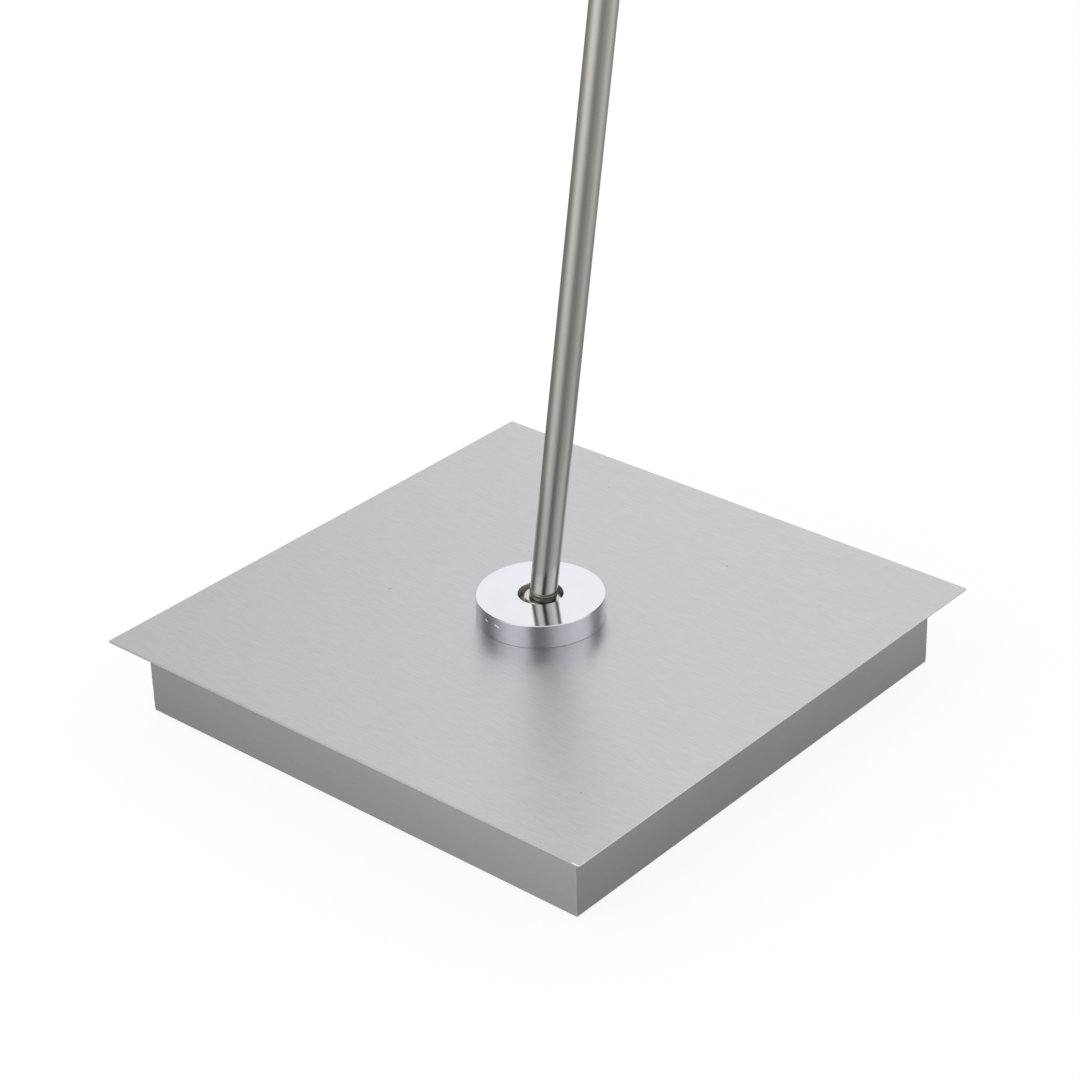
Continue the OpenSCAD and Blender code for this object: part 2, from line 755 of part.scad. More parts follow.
module hollow_stud() {
  color("#b9b3a4") on_pole() difference() {
    translate([0, 0, stud_z]) cylinder(h = ball_flat_up + stud_grip - stud_z, r = stud_r);
    translate([0, 0, stud_z - over])
      cylinder(h = ball_flat_up + stud_grip - stud_z + 2 * over, r = stud_bore_r);
  }
}

module stud_washer() {
  color("#9c9c98") on_pole() difference() {
    translate([0, 0, stud_washer_z]) cylinder(h = stud_washer_t, r = stud_nut_af / 2);
    translate([0, 0, stud_washer_z - over]) cylinder(h = stud_washer_t + 2 * over, r = stud_r + thread_play);
  }
}

module stud_nut() {
  color("#9c9c98") on_pole() difference() {
    translate([0, 0, stud_nut_z]) hexagon(stud_nut_af, stud_nut_h);
    translate([0, 0, stud_nut_z - over]) cylinder(h = stud_nut_h + 2 * over, r = stud_r + thread_play);
  }
}

module pole_foot() {
  bore = stud_r + thread_play;
  color("#a39d94") on_pole() rotate_extrude() difference() {
    union() {
      translate([bore, ball_flat_up]) square([pole_r - bore - foot_round, foot_len]);
      translate([bore, ball_flat_up + foot_round]) square([pole_r - bore, foot_len - foot_round]);
      translate([pole_r - foot_round, ball_flat_up + foot_round]) circle(r = foot_round, $fn = 32);
      translate([bore, ball_flat_up]) square([spigot_r - bore, foot_len + spigot_len]);
    }
    translate([pole_r, ball_flat_up + foot_len / 2]) circle(r = ring_line / 2, $fn = 16);
  }
}

// A pole tube from z, len long
module pole_tube(z, len) {
  difference() {
    translate([0, 0, z]) cylinder(h = len, r = pole_r);
    translate([0, 0, z - over]) cylinder(h = len + 2 * over, r = tube_in_r);
  }
}

module lower_tube() {
  color("#a39d94") on_pole() pole_tube(lower_z, lower_len);
}

module tube_joiner() {
  color("#a39d94") on_pole() difference() {
    union() {
      translate([0, 0, joiner_z - spigot_len]) cylinder(h = 2 * spigot_len + joiner_ring, r = spigot_r);
      translate([0, 0, joiner_z]) cylinder(h = joiner_ring, r = pole_r);
    }
    translate([0, 0, joiner_z - spigot_len - over])
      cylinder(h = 2 * spigot_len + joiner_ring + 2 * over, r = lead_way_r);
  }
}

module upper_tube() {
  color("#a39d94") on_pole() pole_tube(upper_z, upper_len);
}

module head_socket() {
  color("#e6e7ea") on_pole() difference() {
    rotate_extrude() polygon([[lead_way_r, socket_z - spigot_len], [spigot_r, socket_z - spigot_len],
      [spigot_r, socket_z], [pole_r, socket_z], [swivel_r, socket_z + swivel_r - pole_r],
      [swivel_r, socket_top - collar_chamfer], [swivel_r - collar_chamfer, socket_top],
      [swivel_pin_r + swivel_play, socket_top], [swivel_pin_r + swivel_play, swivel_pin_z - clear],
      [lead_way_r, swivel_pin_z - clear]]);
    translate([0, 0, groove_z]) rotate([0, -90, 0])
      cylinder(h = swivel_r + over, r = set_screw_r + thread_play);
  }
}

module set_screw() {
  tip = swivel_pin_r - groove_depth + clear;
  tail = swivel_r - ring_line;
  color("#3c3c3e") on_pole() translate([0, 0, groove_z]) rotate([0, -90, 0]) difference() {
    translate([0, 0, tip]) cylinder(h = tail - tip, r = set_screw_r);
    translate([0, 0, tail - set_screw_r]) hexagon(set_screw_r, set_screw_r + over);
  }
}

module pole_lead() {
  color("#1c1c1d") on_pole() translate([0, 0, stud_z])
    cylinder(h = swivel_pin_z - clear - stud_z, r = lead_r);
}

module thrust_washer() {
  color("#f2f2ee") on_pole() difference() {
    translate([0, 0, socket_top]) cylinder(h = thrust_t, r = swivel_r - collar_chamfer);
    translate([0, 0, socket_top - over]) cylinder(h = thrust_t + 2 * over, r = swivel_pin_r + clear);
  }
}

module swivel_fork() {
  ear_y = ear_gap / 2;
  color("#e6e7ea") on_pole() difference() {
    union() {
      translate([0, 0, swivel_pin_z]) cylinder(h = fork_z - swivel_pin_z, r = swivel_pin_r);
      translate([0, 0, fork_z]) cylinder(h = fork_foot_h, r = swivel_r);
      intersection() {
        translate([0, 0, fork_floor]) cylinder(h = hinge_rise + eye_r, r = swivel_r);
        for (s = [-1, 1]) translate([0, s * (ear_y + ear_t / 2), hinge_z]) union() {
          along_y(-ear_t / 2, ear_t, eye_r);
          translate([0, 0, -hinge_rise / 2]) cube([2 * eye_r, ear_t, hinge_rise], center = true);
        }
      }
    }
    translate([0, 0, swivel_pin_z - over]) cylinder(h = fork_floor - swivel_pin_z + 2 * over, r = lead_way_r);
    translate([0, 0, fork_floor - lead_flare]) cylinder(h = lead_flare + over, r1 = lead_way_r,
      r2 = lead_way_r + lead_flare + over);
    translate([0, 0, groove_z]) rotate_extrude()
      translate([swivel_pin_r - groove_depth, -set_screw_r - swivel_play])
      square([groove_depth + over, 2 * (set_screw_r + swivel_play)]);
    translate([0, 0, hinge_z]) along_y(-swivel_r - over, 2 * (swivel_r + over), bolt_r + thread_play);
    for (s = [-1, 1]) translate([0, s * (bolt_seat_y + swivel_r / 2), hinge_z])
      along_y(-swivel_r / 2, swivel_r, bolt_head_r + clear);
  }
}

module hinge_bolt() {
  shank = 2 * bolt_seat_y + spring_t + cap_nut_h;
  color("#d8d9dc") on_pole() translate([0, 0, hinge_z]) {
    along_y(-bolt_seat_y, shank, bolt_r);
    difference() {
      along_y(-bolt_seat_y - bolt_head_h, bolt_head_h, bolt_head_r);
      translate([0, -bolt_seat_y - bolt_head_h - over, 0]) rotate([-90, 0, 0])
        hexagon(bolt_r * 4 / 3, bolt_head_h / 2 + over);
    }
  }
}

module friction_washers() {
  color("#f2f2ee") on_pole() translate([0, 0, hinge_z]) for (s = [-1, 1]) {
    y = s * (ear_gap - friction_t) / 2 - friction_t / 2;
    difference() {
      along_y(y, friction_t, eye_r - ring_line);
      along_y(y - over, friction_t + 2 * over, bolt_r + thread_play);
    }
  }
}

module spring_washer() {
  color("#3c3c3e") on_pole() translate([0, 0, hinge_z]) difference() {
    along_y(bolt_seat_y, spring_t, bolt_head_r);
    along_y(bolt_seat_y - over, spring_t + 2 * over, bolt_r + thread_play);
  }
}

module cap_nut() {
  y = bolt_seat_y + spring_t;
  dome_r = cap_nut_af / 2;
  color("#d8d9dc") on_pole() translate([0, y, hinge_z]) difference() {
    union() {
      rotate([-90, 0, 0]) hexagon(cap_nut_af, cap_nut_h);
      intersection() {
        translate([0, cap_nut_h, 0]) sphere(r = dome_r);
        along_y(cap_nut_h / 2, cap_nut_h + dome_r, dome_r + over);
      }
    }
    along_y(-over, cap_nut_h + over + thread_play, bolt_r + thread_play);
  }
}

// The lead from the swivel to the head, bare for a short way under the tongue
module head_lead() {
  pole_way = [sin(lean_deg), 0, cos(lean_deg)];
  start = (swivel_pin_z - hinge_z) * pole_way;
  mouth = -(hinge_rise + head_lead_r) * pole_way;
  low_z = -(hinge_rise + eye_r) / 2 - head_lead_r / 2;
  color("#1c1c1d") on_head() wire([start, mouth - 2 * head_lead_r * pole_way, mouth, [eye_r / 2, 0, low_z],
    [swivel_r + head_lead_r, 0, low_z + head_lead_r],
    [(swivel_r + arm_len) / 2, wire_hole_y / 2, low_z / 2 - head_lead_r],
    [arm_len - 2 * head_lead_r, wire_hole_y, wire_in_z], [arm_len, wire_hole_y, wire_in_z],
    [housing_x - clear, wire_hole_y, wire_in_z]], head_lead_r, [0, 1, 0]);
}

module hinge_tongue() {
  color("#d8d9dc") on_head() difference() {
    union() {
      along_y(-tongue_t / 2, tongue_t, eye_r);
      translate([arm_len / 2, 0, 0]) cube([arm_len, tongue_t, arm_h], center = true);
      translate([arm_len, 0, 0]) rotate([90, 0, 90]) linear_extrude(flange_t)
        round_rect(flange_w, head_h - 2 * ring_line, head_corner_r);
    }
    along_y(-tongue_t, 2 * tongue_t, bolt_r + bolt_play);
    flange_holes(arm_len, flange_t, flange_screw_r + screw_play);
    wire_hole(arm_len, flange_t);
  }
}

// Holes for the two screws of the tongue's flange
module flange_holes(x, len, r) {
  for (s = [-1, 1]) translate([x - over, s * flange_screw_y, 0]) rotate([0, 90, 0])
    cylinder(h = len + 2 * over, r = r);
}

// The wires' way into the head
module wire_hole(x, len) {
  translate([x - over, wire_hole_y, wire_in_z]) rotate([0, 90, 0])
    cylinder(h = len + 2 * over, r = head_lead_r + clear);
}

module tongue_screws() {
  h = flange_screw_head_h;
  color("#8f8f8c") on_head() for (s = [-1, 1])
    translate([arm_len, s * flange_screw_y, 0]) rotate([0, 90, 0]) {
      cylinder(h = flange_t + cap_t, r = flange_screw_r);
      difference() {
        translate([0, 0, -h]) cylinder(h = h, r = flange_screw_head_r);
        translate([0, 0, -h - over]) hexagon(flange_screw_r * 4 / 3, h / 2 + over);
      }
    }
}

// A face of an end cap, with its two screw holes
module cap_face(x) {
  difference() {
    translate([x, 0, 0]) rotate([90, 0, 90]) linear_extrude(cap_t) round_rect(head_w, head_h, head_corner_r);
    for (s = [-1, 1]) translate([x - over, s * boss_y, boss_z]) rotate([0, 90, 0])
      cylinder(h = cap_t + 2 * over, r = cap_screw_r + screw_play);
  }
}

module rear_end_cap() {
  color("#3a3b3d") on_head() difference() {
    cap_face(rear_cap_x);
    flange_holes(rear_cap_x, cap_t, flange_screw_r + thread_play);
    wire_hole(rear_cap_x, cap_t);
  }
}

module front_end_cap() {
  color("#3a3b3d") on_head() cap_face(front_cap_x);
}

// Cross-section of the housing, seen along the head
module housing_section() {
  inner_w = head_w - 2 * head_side_t;
  difference() {
    union() {
      difference() {
        round_rect(head_w, head_h, head_corner_r);
        translate([-inner_w / 2, -head_h]) square([inner_w, head_h + top_under_z]);
      }
      for (s = [-1, 1]) translate([s * boss_y, boss_z]) circle(r = boss_r);
    }
    for (s = [-1, 1]) translate([s * boss_y, boss_z]) circle(r = cap_screw_r + thread_play, $fn = 32);
    for (s = [-1, 1]) translate([s * inner_w / 2, diffuser_z + diffuser_t / 2])
      square([2 * diffuser_groove, diffuser_t + 2 * diffuser_play], center = true);
  }
}

module head_housing() {
  color("#c9cacc") on_head() difference() {
    translate([housing_x, 0, 0]) rotate([90, 0, 90]) linear_extrude(head_len) housing_section();
    translate([button_x, 0, 0]) cylinder(h = head_h, r = button_r + button_play);
  }
}

module cap_screws() {
  head_r = cap_screw_r * 1.8;
  color("#8f8f8c") on_head() for (s = [-1, 1], e = [0, 1])
    translate([e == 0 ? rear_cap_x : front_cap_x + cap_t, s * boss_y, boss_z])
    rotate([0, e == 0 ? 90 : -90, 0]) {
      cylinder(h = cap_t + cap_screw_grip, r = cap_screw_r);
      difference() {
        translate([0, 0, -cap_screw_r]) cylinder(h = cap_screw_r, r = head_r);
        translate([0, 0, -cap_screw_r]) cube([cap_screw_r / 2, head_r, cap_screw_r / 2], center = true);
        translate([0, 0, -cap_screw_r]) cube([head_r, cap_screw_r / 2, cap_screw_r / 2], center = true);
      }
    }
}

module led_board() {
  color("#f4f4f0") on_head() translate([board_x, -board_w / 2, board_z]) cube([board_len, board_w, board_t]);
}

module light_chips() {
  step = board_len / chip_count;
  color("#f6e9a8") on_head() for (i = [0 : chip_count - 1], s = [-1, 1])
    translate([board_x + (i + 0.5) * step, s * board_w / 4, board_z - chip_h / 2])
    cube([chip_side, chip_side, chip_h], center = true);
}

module diffuser() {
  width = head_w - 2 * head_side_t + 2 * (diffuser_groove - diffuser_play);
  color("#f7f7f4") on_head() translate([housing_x, -width / 2, diffuser_z])
    cube([head_len, width, diffuser_t]);
}

module switch_body() {
  color("#242425") on_head() translate([button_x, 0, 0]) difference() {
    translate([0, 0, switch_z]) cylinder(h = top_under_z - switch_z, r = switch_r);
    translate([0, 0, switch_floor_z]) cylinder(h = head_h, r = button_r + button_flange + clear);
    translate([0, 0, switch_z - over]) cylinder(h = head_h, r = stem_r + clear);
  }
}

// Wires from the end cap to the switch and on to the board
module inner_wires() {
  z = wire_in_z;
  near_x = button_x - switch_r - clear;
  far_x = button_x + switch_r + clear;
  end_x = board_x + 2 * chip_side;
  end_z = board_z - clear;
  color("#b0302a") on_head() {
    wire([[housing_x, wire_hole_y, z], [housing_x + wire_r, wire_hole_y, z],
      [housing_x + 2 * wire_r, wire_hole_y, z], [near_x - 2 * wire_r, 0, z], [near_x - wire_r, 0, z],
      [near_x, 0, z]], wire_r, [0, 0, 1]);
    wire([[far_x, 0, z], [far_x + wire_r, 0, z], [far_x + 2 * wire_r, 0, z], [board_x, chip_side, z],
      [end_x - wire_r, chip_side, z + wire_r], [end_x, chip_side, z + 2 * wire_r],
      [end_x, chip_side, end_z - wire_r], [end_x, chip_side, end_z]], wire_r, [0, 1, 0]);
  }
}

module dimmer_button() {
  color("#d8d9dc") on_head() translate([button_x, 0, 0]) {
    translate([0, 0, button_flange_z])
      cylinder(h = head_h / 2 + button_proud - button_flange_z, r = button_r);
    translate([0, 0, button_flange_z]) cylinder(h = button_flange_t, r = button_r + button_flange);
    translate([0, 0, switch_floor_z - stem_r])
      cylinder(h = button_flange_z - switch_floor_z + stem_r, r = stem_r);
  }
}

top_plate();
tray();
ballast();
long_nuts();
bottom_cover();
cover_screws();
rubber_feet();
collar();
collar_screws();
pressure_plate();
tension_screws();
disc_springs();
cord_gland();
gland_nut();
terminal_block();
terminal_screws();
led_driver();
driver_screws();
mains_wires();
slack_lead();
ball_seat();
pivot_ball();
hollow_stud();
stud_washer();
stud_nut();
pole_foot();
lower_tube();
tube_joiner();
upper_tube();
head_socket();
set_screw();
pole_lead();
thrust_washer();
swivel_fork();
hinge_bolt();
friction_washers();
spring_washer();
cap_nut();
head_lead();
hinge_tongue();
tongue_screws();
rear_end_cap();
head_housing();
front_end_cap();
cap_screws();
led_board();
light_chips();
diffuser();
switch_body();
inner_wires();
dimmer_button();
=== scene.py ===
import json
import math
import bmesh
import bpy
import random
from mathutils import Matrix, Vector
from mathutils.geometry import interpolate_bezier


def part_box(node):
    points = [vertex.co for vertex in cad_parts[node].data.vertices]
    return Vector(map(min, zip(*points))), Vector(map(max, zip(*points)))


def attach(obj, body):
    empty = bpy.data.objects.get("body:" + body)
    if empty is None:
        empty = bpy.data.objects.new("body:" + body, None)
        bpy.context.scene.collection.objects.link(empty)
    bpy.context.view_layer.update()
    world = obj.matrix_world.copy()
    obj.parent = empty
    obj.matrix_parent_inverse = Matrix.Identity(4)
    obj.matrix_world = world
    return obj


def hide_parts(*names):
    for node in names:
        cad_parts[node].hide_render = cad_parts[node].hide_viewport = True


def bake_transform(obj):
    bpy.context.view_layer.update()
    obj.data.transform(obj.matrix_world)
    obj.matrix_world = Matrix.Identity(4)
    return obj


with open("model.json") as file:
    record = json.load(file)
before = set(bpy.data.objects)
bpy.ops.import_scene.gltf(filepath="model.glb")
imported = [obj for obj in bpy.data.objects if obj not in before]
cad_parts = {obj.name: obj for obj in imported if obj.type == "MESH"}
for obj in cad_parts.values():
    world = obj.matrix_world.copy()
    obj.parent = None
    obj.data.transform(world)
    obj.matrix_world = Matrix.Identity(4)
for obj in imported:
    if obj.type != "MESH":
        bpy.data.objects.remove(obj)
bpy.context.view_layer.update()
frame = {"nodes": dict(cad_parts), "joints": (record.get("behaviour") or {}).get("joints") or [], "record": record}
nodes = frame["nodes"]
slotOf = {part["node"]: part["material_slot"] for part in frame["record"]["subparts"]}
mm = 0.001
print("frame loaded:", len(nodes), "nodes")

# Camera, fitted to the corners of the plate and the box and to the collar's circles
viewpoint = {
    "place": (-0.846754, -0.748566, 0.711573),
    "right": (0.65090472, -0.75871887, -0.02585968),
    "up": (0.38542227, 0.300923, 0.87229297),
    "back": (-0.65404336, -0.5777465, 0.48829935),
    "focalLength": 95.32, "sensorWidth": 36, "nearest": 0.05,
}
lens = bpy.data.cameras.new("lens")
lens.sensor_fit = "HORIZONTAL"
lens.sensor_width = viewpoint["sensorWidth"]
lens.lens = viewpoint["focalLength"]
lens.clip_start = viewpoint["nearest"]
camera = bpy.data.objects.new("camera", lens)
axes = Matrix([viewpoint[key] for key in ("right", "up", "back")]).transposed()
camera.matrix_world = Matrix.Translation(viewpoint["place"]) @ axes.to_4x4()
bpy.context.scene.collection.objects.link(camera)
bpy.context.scene.camera = camera
print("camera placed")


def jointPlace(name):
    return Vector(next(j["pos_m"] for j in frame["joints"] if j["name"] == name))


# The pole's own axes, with Z up the pole, and the head's, with X along the head
lean = {"degrees": 6.5, "direction": -50}
leanTurn = Matrix.Rotation(math.radians(lean["direction"]), 4, "Z")
leanTip = Matrix.Rotation(math.radians(lean["degrees"]), 4, "Y")
poleAxes = Matrix.Translation(jointPlace("pole_tilt")) @ leanTurn @ leanTip
headAxes = Matrix.Translation(jointPlace("head_tilt")) @ leanTurn

# How meshes are closed and shaded: gaps in metres, the angle of a sharp edge, the pull of large faces
meshing = {"weldGap": 1e-7, "thinnest": 1e-8, "sharpFrom": 30, "flatWeight": 90}


def keepFlat(piece):
    shading = piece.modifiers.new("keepFlat", "WEIGHTED_NORMAL")
    shading.weight = meshing["flatWeight"]
    shading.keep_sharp = True


def makePiece(name, corners, faces, place=None):
    shape = bpy.data.meshes.new(name)
    shape.from_pydata([Vector(c) * mm for c in corners], [], faces)
    work = bmesh.new()
    work.from_mesh(shape)
    bmesh.ops.remove_doubles(work, verts=work.verts, dist=meshing["weldGap"])
    bmesh.ops.dissolve_degenerate(work, edges=work.edges, dist=meshing["thinnest"])
    bmesh.ops.recalc_face_normals(work, faces=work.faces)
    work.to_mesh(shape)
    work.free()
    shape.shade_smooth()
    shape.set_sharp_from_angle(angle=math.radians(meshing["sharpFrom"]))
    piece = bpy.data.objects.new(name, shape)
    bpy.context.scene.collection.objects.link(piece)
    keepFlat(piece)
    if place:
        piece.matrix_world = place
    return piece


def skin(loops, backToStart=False):
    count = len(loops[0])
    corners = [p for loop in loops for p in loop]
    faces = []
    for i in range(len(loops) if backToStart else len(loops) - 1):
        a, b = i * count, (i + 1) % len(loops) * count
        for k in range(count):
            n = (k + 1) % count
            faces.append((a + k, a + n, b + n, b + k))
    return corners, faces


# A closed outline from points of x, y and the radius of the corner there
def roundedOutline(points, steps):
    path = []
    for i, (x, y, radius) in enumerate(points):
        here = Vector((x, y))
        if radius == 0:
            path.append((x, y))
            continue
        before = (Vector(points[i - 1][:2]) - here).normalized()
        after = (Vector(points[(i + 1) % len(points)][:2]) - here).normalized()
        half = before.angle(after) / 2
        middle = here + (before + after).normalized() * (radius / math.sin(half))
        reach = radius / math.tan(half)
        first, last = here + before * reach - middle, here + after * reach - middle
        for k in range(steps + 1):
            path.append(tuple(middle + first.slerp(last, k / steps) * radius))
    return path


def turned(name, outline, steps, place=None):
    loops = []
    for k in range(steps):
        angle = 2 * math.pi * k / steps
        loops.append([(r * math.cos(angle), r * math.sin(angle), z) for r, z in outline])
    corners, faces = skin(loops, backToStart=True)
    return makePiece(name, corners, faces, place)


def smoothPath(route, steps=6):
    points = [Vector(p) for p in route]
    wider = [2 * points[0] - points[1], *points, 2 * points[-1] - points[-2]]
    ways = [((b - a).normalized() + (c - b).normalized()).normalized()
            for a, b, c in zip(wider, wider[1:], wider[2:])]
    path = []
    for i, (a, b) in enumerate(zip(points, points[1:])):
        reach = (b - a).length / 3
        path += interpolate_bezier(a, a + ways[i] * reach, b - ways[i + 1] * reach, b, steps + 1)[:-1]
    return [*path, points[-1]]


def makeTube(name, path, radius, side, place=None, sides=16):
    loops = []
    for i, here in enumerate(path):
        way = path[min(i + 1, len(path) - 1)] - path[max(i - 1, 0)]
        across = way.cross(Vector(side)).normalized()
        up = way.cross(across).normalized()
        turns = [2 * math.pi * k / sides for k in range(sides)]
        loops.append([here + (across * math.cos(a) + up * math.sin(a)) * radius for a in turns])
    corners, faces = skin(loops)
    faces += [tuple(range(sides)), tuple(len(corners) - 1 - k for k in range(sides))]
    return makePiece(name, corners, faces, place)


def addBrushMap(piece, across):
    layer = piece.data.uv_layers.new(name="brush")
    for loop in piece.data.loops:
        x, y, z = piece.data.vertices[loop.vertex_index].co
        layer.data[loop.index].uv = across(x, y, z)


def feed(tree, socket, value):
    if isinstance(value, bpy.types.NodeSocket):
        tree.links.new(value, socket)
    else:
        socket.default_value = value


def calc(tree, operation, *values):
    node = tree.nodes.new("ShaderNodeMath")
    node.operation = operation
    for socket, value in zip(node.inputs, values):
        feed(tree, socket, value)
    return node.outputs[0]


def fade(tree, value, first, last, top=1.0):
    node = tree.nodes.new("ShaderNodeMapRange")
    node.inputs["From Min"].default_value = first
    node.inputs["From Max"].default_value = last
    node.inputs["To Max"].default_value = top
    tree.links.new(value, node.inputs["Value"])
    return node.outputs[0]


def objectPoint(tree):
    return tree.nodes.new("ShaderNodeTexCoord").outputs["Object"]


def splitPoint(tree, point):
    node = tree.nodes.new("ShaderNodeSeparateXYZ")
    tree.links.new(point, node.inputs[0])
    return node.outputs


def grain(tree, size, detail, shift=0, turn=(0, 0, 0)):
    mapping = tree.nodes.new("ShaderNodeMapping")
    mapping.vector_type = "TEXTURE"
    mapping.inputs["Rotation"].default_value = [math.radians(a) for a in turn]
    mapping.inputs["Location"].default_value = (shift, shift, shift)
    mapping.inputs["Scale"].default_value = [s * mm for s in size]
    tree.links.new(objectPoint(tree), mapping.inputs["Vector"])
    noise = tree.nodes.new("ShaderNodeTexNoise")
    noise.inputs["Scale"].default_value = 1
    noise.inputs["Detail"].default_value = detail
    tree.links.new(mapping.outputs[0], noise.inputs["Vector"])
    return noise.outputs[0]


clean = 0.5  # a mask's value off its marks: the middle of a tint's range, so clean metal keeps its colour


# Adds 1 to the mask in a small ball round each place, in mm
def speckMask(tree, places, size):
    point = objectPoint(tree)
    total = clean
    for place in places:
        gap = tree.nodes.new("ShaderNodeVectorMath")
        gap.operation = "DISTANCE"
        tree.links.new(point, gap.inputs[0])
        gap.inputs[1].default_value = Vector(place) * mm
        spot = calc(tree, "LESS_THAN", gap.outputs["Value"], size * mm)
        total = calc(tree, "ADD", spot, total)
    return total


# A factor near 1, which each grain or mask moves up and down by its own amount
def vary(tree, *parts):
    total = 1 - sum(amount for fac, amount in parts) / 2
    for fac, amount in parts:
        total = calc(tree, "MULTIPLY_ADD", fac, amount, total)
    return total


def tint(tree, surface, colour, *parts):
    node = tree.nodes.new("ShaderNodeVectorMath")
    node.operation = "SCALE"
    node.inputs[0].default_value = colour
    tree.links.new(vary(tree, *parts), node.inputs["Scale"])
    tree.links.new(node.outputs[0], surface.inputs["Base Color"])


def roughen(tree, surface, roughness, *parts):
    total = calc(tree, "MULTIPLY", vary(tree, *parts), roughness)
    tree.links.new(total, surface.inputs["Roughness"])


def relief(tree, surface, height, depth, strength):
    bump = tree.nodes.new("ShaderNodeBump")
    bump.inputs["Strength"].default_value = strength
    bump.inputs["Distance"].default_value = depth * mm
    tree.links.new(height, bump.inputs["Height"])
    tree.links.new(bump.outputs[0], surface.inputs["Normal"])


def setBrush(tree, surface, anisotropy, around):
    surface.inputs["Anisotropic"].default_value = anisotropy
    tangent = tree.nodes.new("ShaderNodeTangent")
    if around:
        tangent.direction_type = "RADIAL"
        tangent.axis = "Z"
    else:
        tangent.direction_type = "UV_MAP"
        tangent.uv_map = "brush"
    tree.links.new(tangent.outputs[0], surface.inputs["Tangent"])


# Each finish is a dictionary. Its grains say: size in mm, detail, shift, and how much of the grain
# goes into the colour and into the roughness. Its relief says: which grain, depth in mm, strength.
# Marks are a piece's own masks, each with its share in the colour.
def makeFinish(name, look, marks=None, turn=(0, 0, 0)):
    finish = bpy.data.materials.new(name)
    finish.use_nodes = True
    tree = finish.node_tree
    surface = tree.nodes["Principled BSDF"]
    surface.inputs["Metallic"].default_value = look["metal"]
    surface.inputs["Roughness"].default_value = look["roughness"]
    textures, shades, roughs = {}, [], []
    for key, (size, detail, shift, shade, rough) in look["grains"].items():
        textures[key] = grain(tree, size, detail, shift, turn)
        if shade:
            shades.append((textures[key], shade))
        if rough:
            roughs.append((textures[key], rough))
    marked = marks(tree) if marks else []
    tint(tree, surface, look["colour"], *shades, *marked)
    roughen(tree, surface, look["roughness"], *roughs)
    key, depth, strength = look["relief"]
    relief(tree, surface, textures[key], depth, strength)
    if look.get("glintMarks"):  # its marks are not metal and light up white: painted highlights
        dull = calc(tree, "SUBTRACT", 1 + clean, marked[0][0])
        tree.links.new(dull, surface.inputs["Metallic"])
    if look.get("brush"):
        setBrush(tree, surface, look["brush"], look.get("brushedAround"))
    return finish


# Top plate: brushed along Y, with its long edges barely rounded
plateLook = {
    "edgeRound": 0.42, "sideRound": 0.13, "corner": 0.7, "edgeSteps": 4, "hole": 13.3,
    "top": {
        "colour": (0.652, 0.649, 0.674), "metal": 1, "roughness": 0.36, "brush": 0.65,
        "grains": {
            "fine": ((0.3, 7, 3), 2, 0, 0.33, 0.3),
            "broad": ((1.1, 45, 8), 2, 3, 0.06, 0.15),
            "dust": ((0.27, 0.36, 0.4), 1, 9, 0.48, 0),
            "cloud": ((60, 90, 60), 2, 7, 0.04, 0.15),
        },
        "relief": ("fine", 0.002, 0.15),
    },
    "specks": ((114.8, 54.1), (-99.9, -107.4), (41.4, 43.2), (-26, 71), (88, -40)),
    "speckSize": 0.35, "speckShade": -0.7,
    "edge": {
        "colour": (0.78, 0.77, 0.74), "metal": 1, "roughness": 0.3, "glintMarks": True,
        "grains": {"nicks": ((2.5, 2.5, 0.5), 3, 5, 0.3, 0.5)},
        "relief": ("nicks", 0.02, 0.5),
    },
    # The bright tip is a painted highlight: a white patch, not metal, on the edge at the front corner
    "paintedTipHighlight": (-139.9, -137.8, 4), "tipHighlightSize": 4.45, "tipHighlightShare": 0.15,  # with its height above the top
}
low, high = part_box("top_plate")
plateTop, plateLow, plateHalf = high.z / mm, low.z / mm, high.x / mm


def squareLoop(half, corner, z, steps=12, halfY=None):
    loop = []
    halfY = halfY or half
    for k, (sx, sy) in enumerate([(1, 1), (-1, 1), (-1, -1), (1, -1)]):
        for i in range(steps + 1):
            angle = math.pi / 2 * (k + i / steps)
            x = sx * (half - corner) + corner * math.cos(angle)
            y = sy * (halfY - corner) + corner * math.sin(angle)
            loop.append((x, y, z))
    return loop


def holeLoop(radius, z, like):
    return [(radius * x / math.hypot(x, y), radius * y / math.hypot(x, y), z) for x, y, _ in like]


def makePlate():
    e, side, corner = plateLook["edgeRound"], plateLook["sideRound"], plateLook["corner"]
    hole, steps = plateLook["hole"], plateLook["edgeSteps"]
    angles = [math.pi / 2 * k / steps for k in range(steps + 1)]
    loops = []
    for angle in angles:
        inset, sideInset = e * (1 - math.sin(angle)), side * (1 - math.sin(angle))
        z = plateTop - e + e * math.cos(angle)
        loops.append(squareLoop(plateHalf - inset, corner - inset, z, halfY=plateHalf - sideInset))
    for angle in angles:
        inset = e * (1 - math.cos(angle))
        z = plateLow + e - e * math.sin(angle)
        loops.append(squareLoop(plateHalf - inset, corner - inset, z))
    loops.insert(0, holeLoop(hole, plateTop, loops[0]))
    loops.append(holeLoop(hole, plateLow, loops[-1]))
    corners, faces = skin(loops, backToStart=True)
    return makePiece("topPlate", corners, faces)


def plateSpecks(tree):
    places = [(x, y, plateTop) for x, y in plateLook["specks"]]
    return [(speckMask(tree, places, plateLook["speckSize"]), plateLook["speckShade"])]


# Painted highlight on the plate's edge at its front corner
def platePaintedTip(tree):
    place = Vector(plateLook["paintedTipHighlight"]) + Vector((0, 0, plateTop))
    return [(speckMask(tree, [place], plateLook["tipHighlightSize"]), plateLook["tipHighlightShare"])]


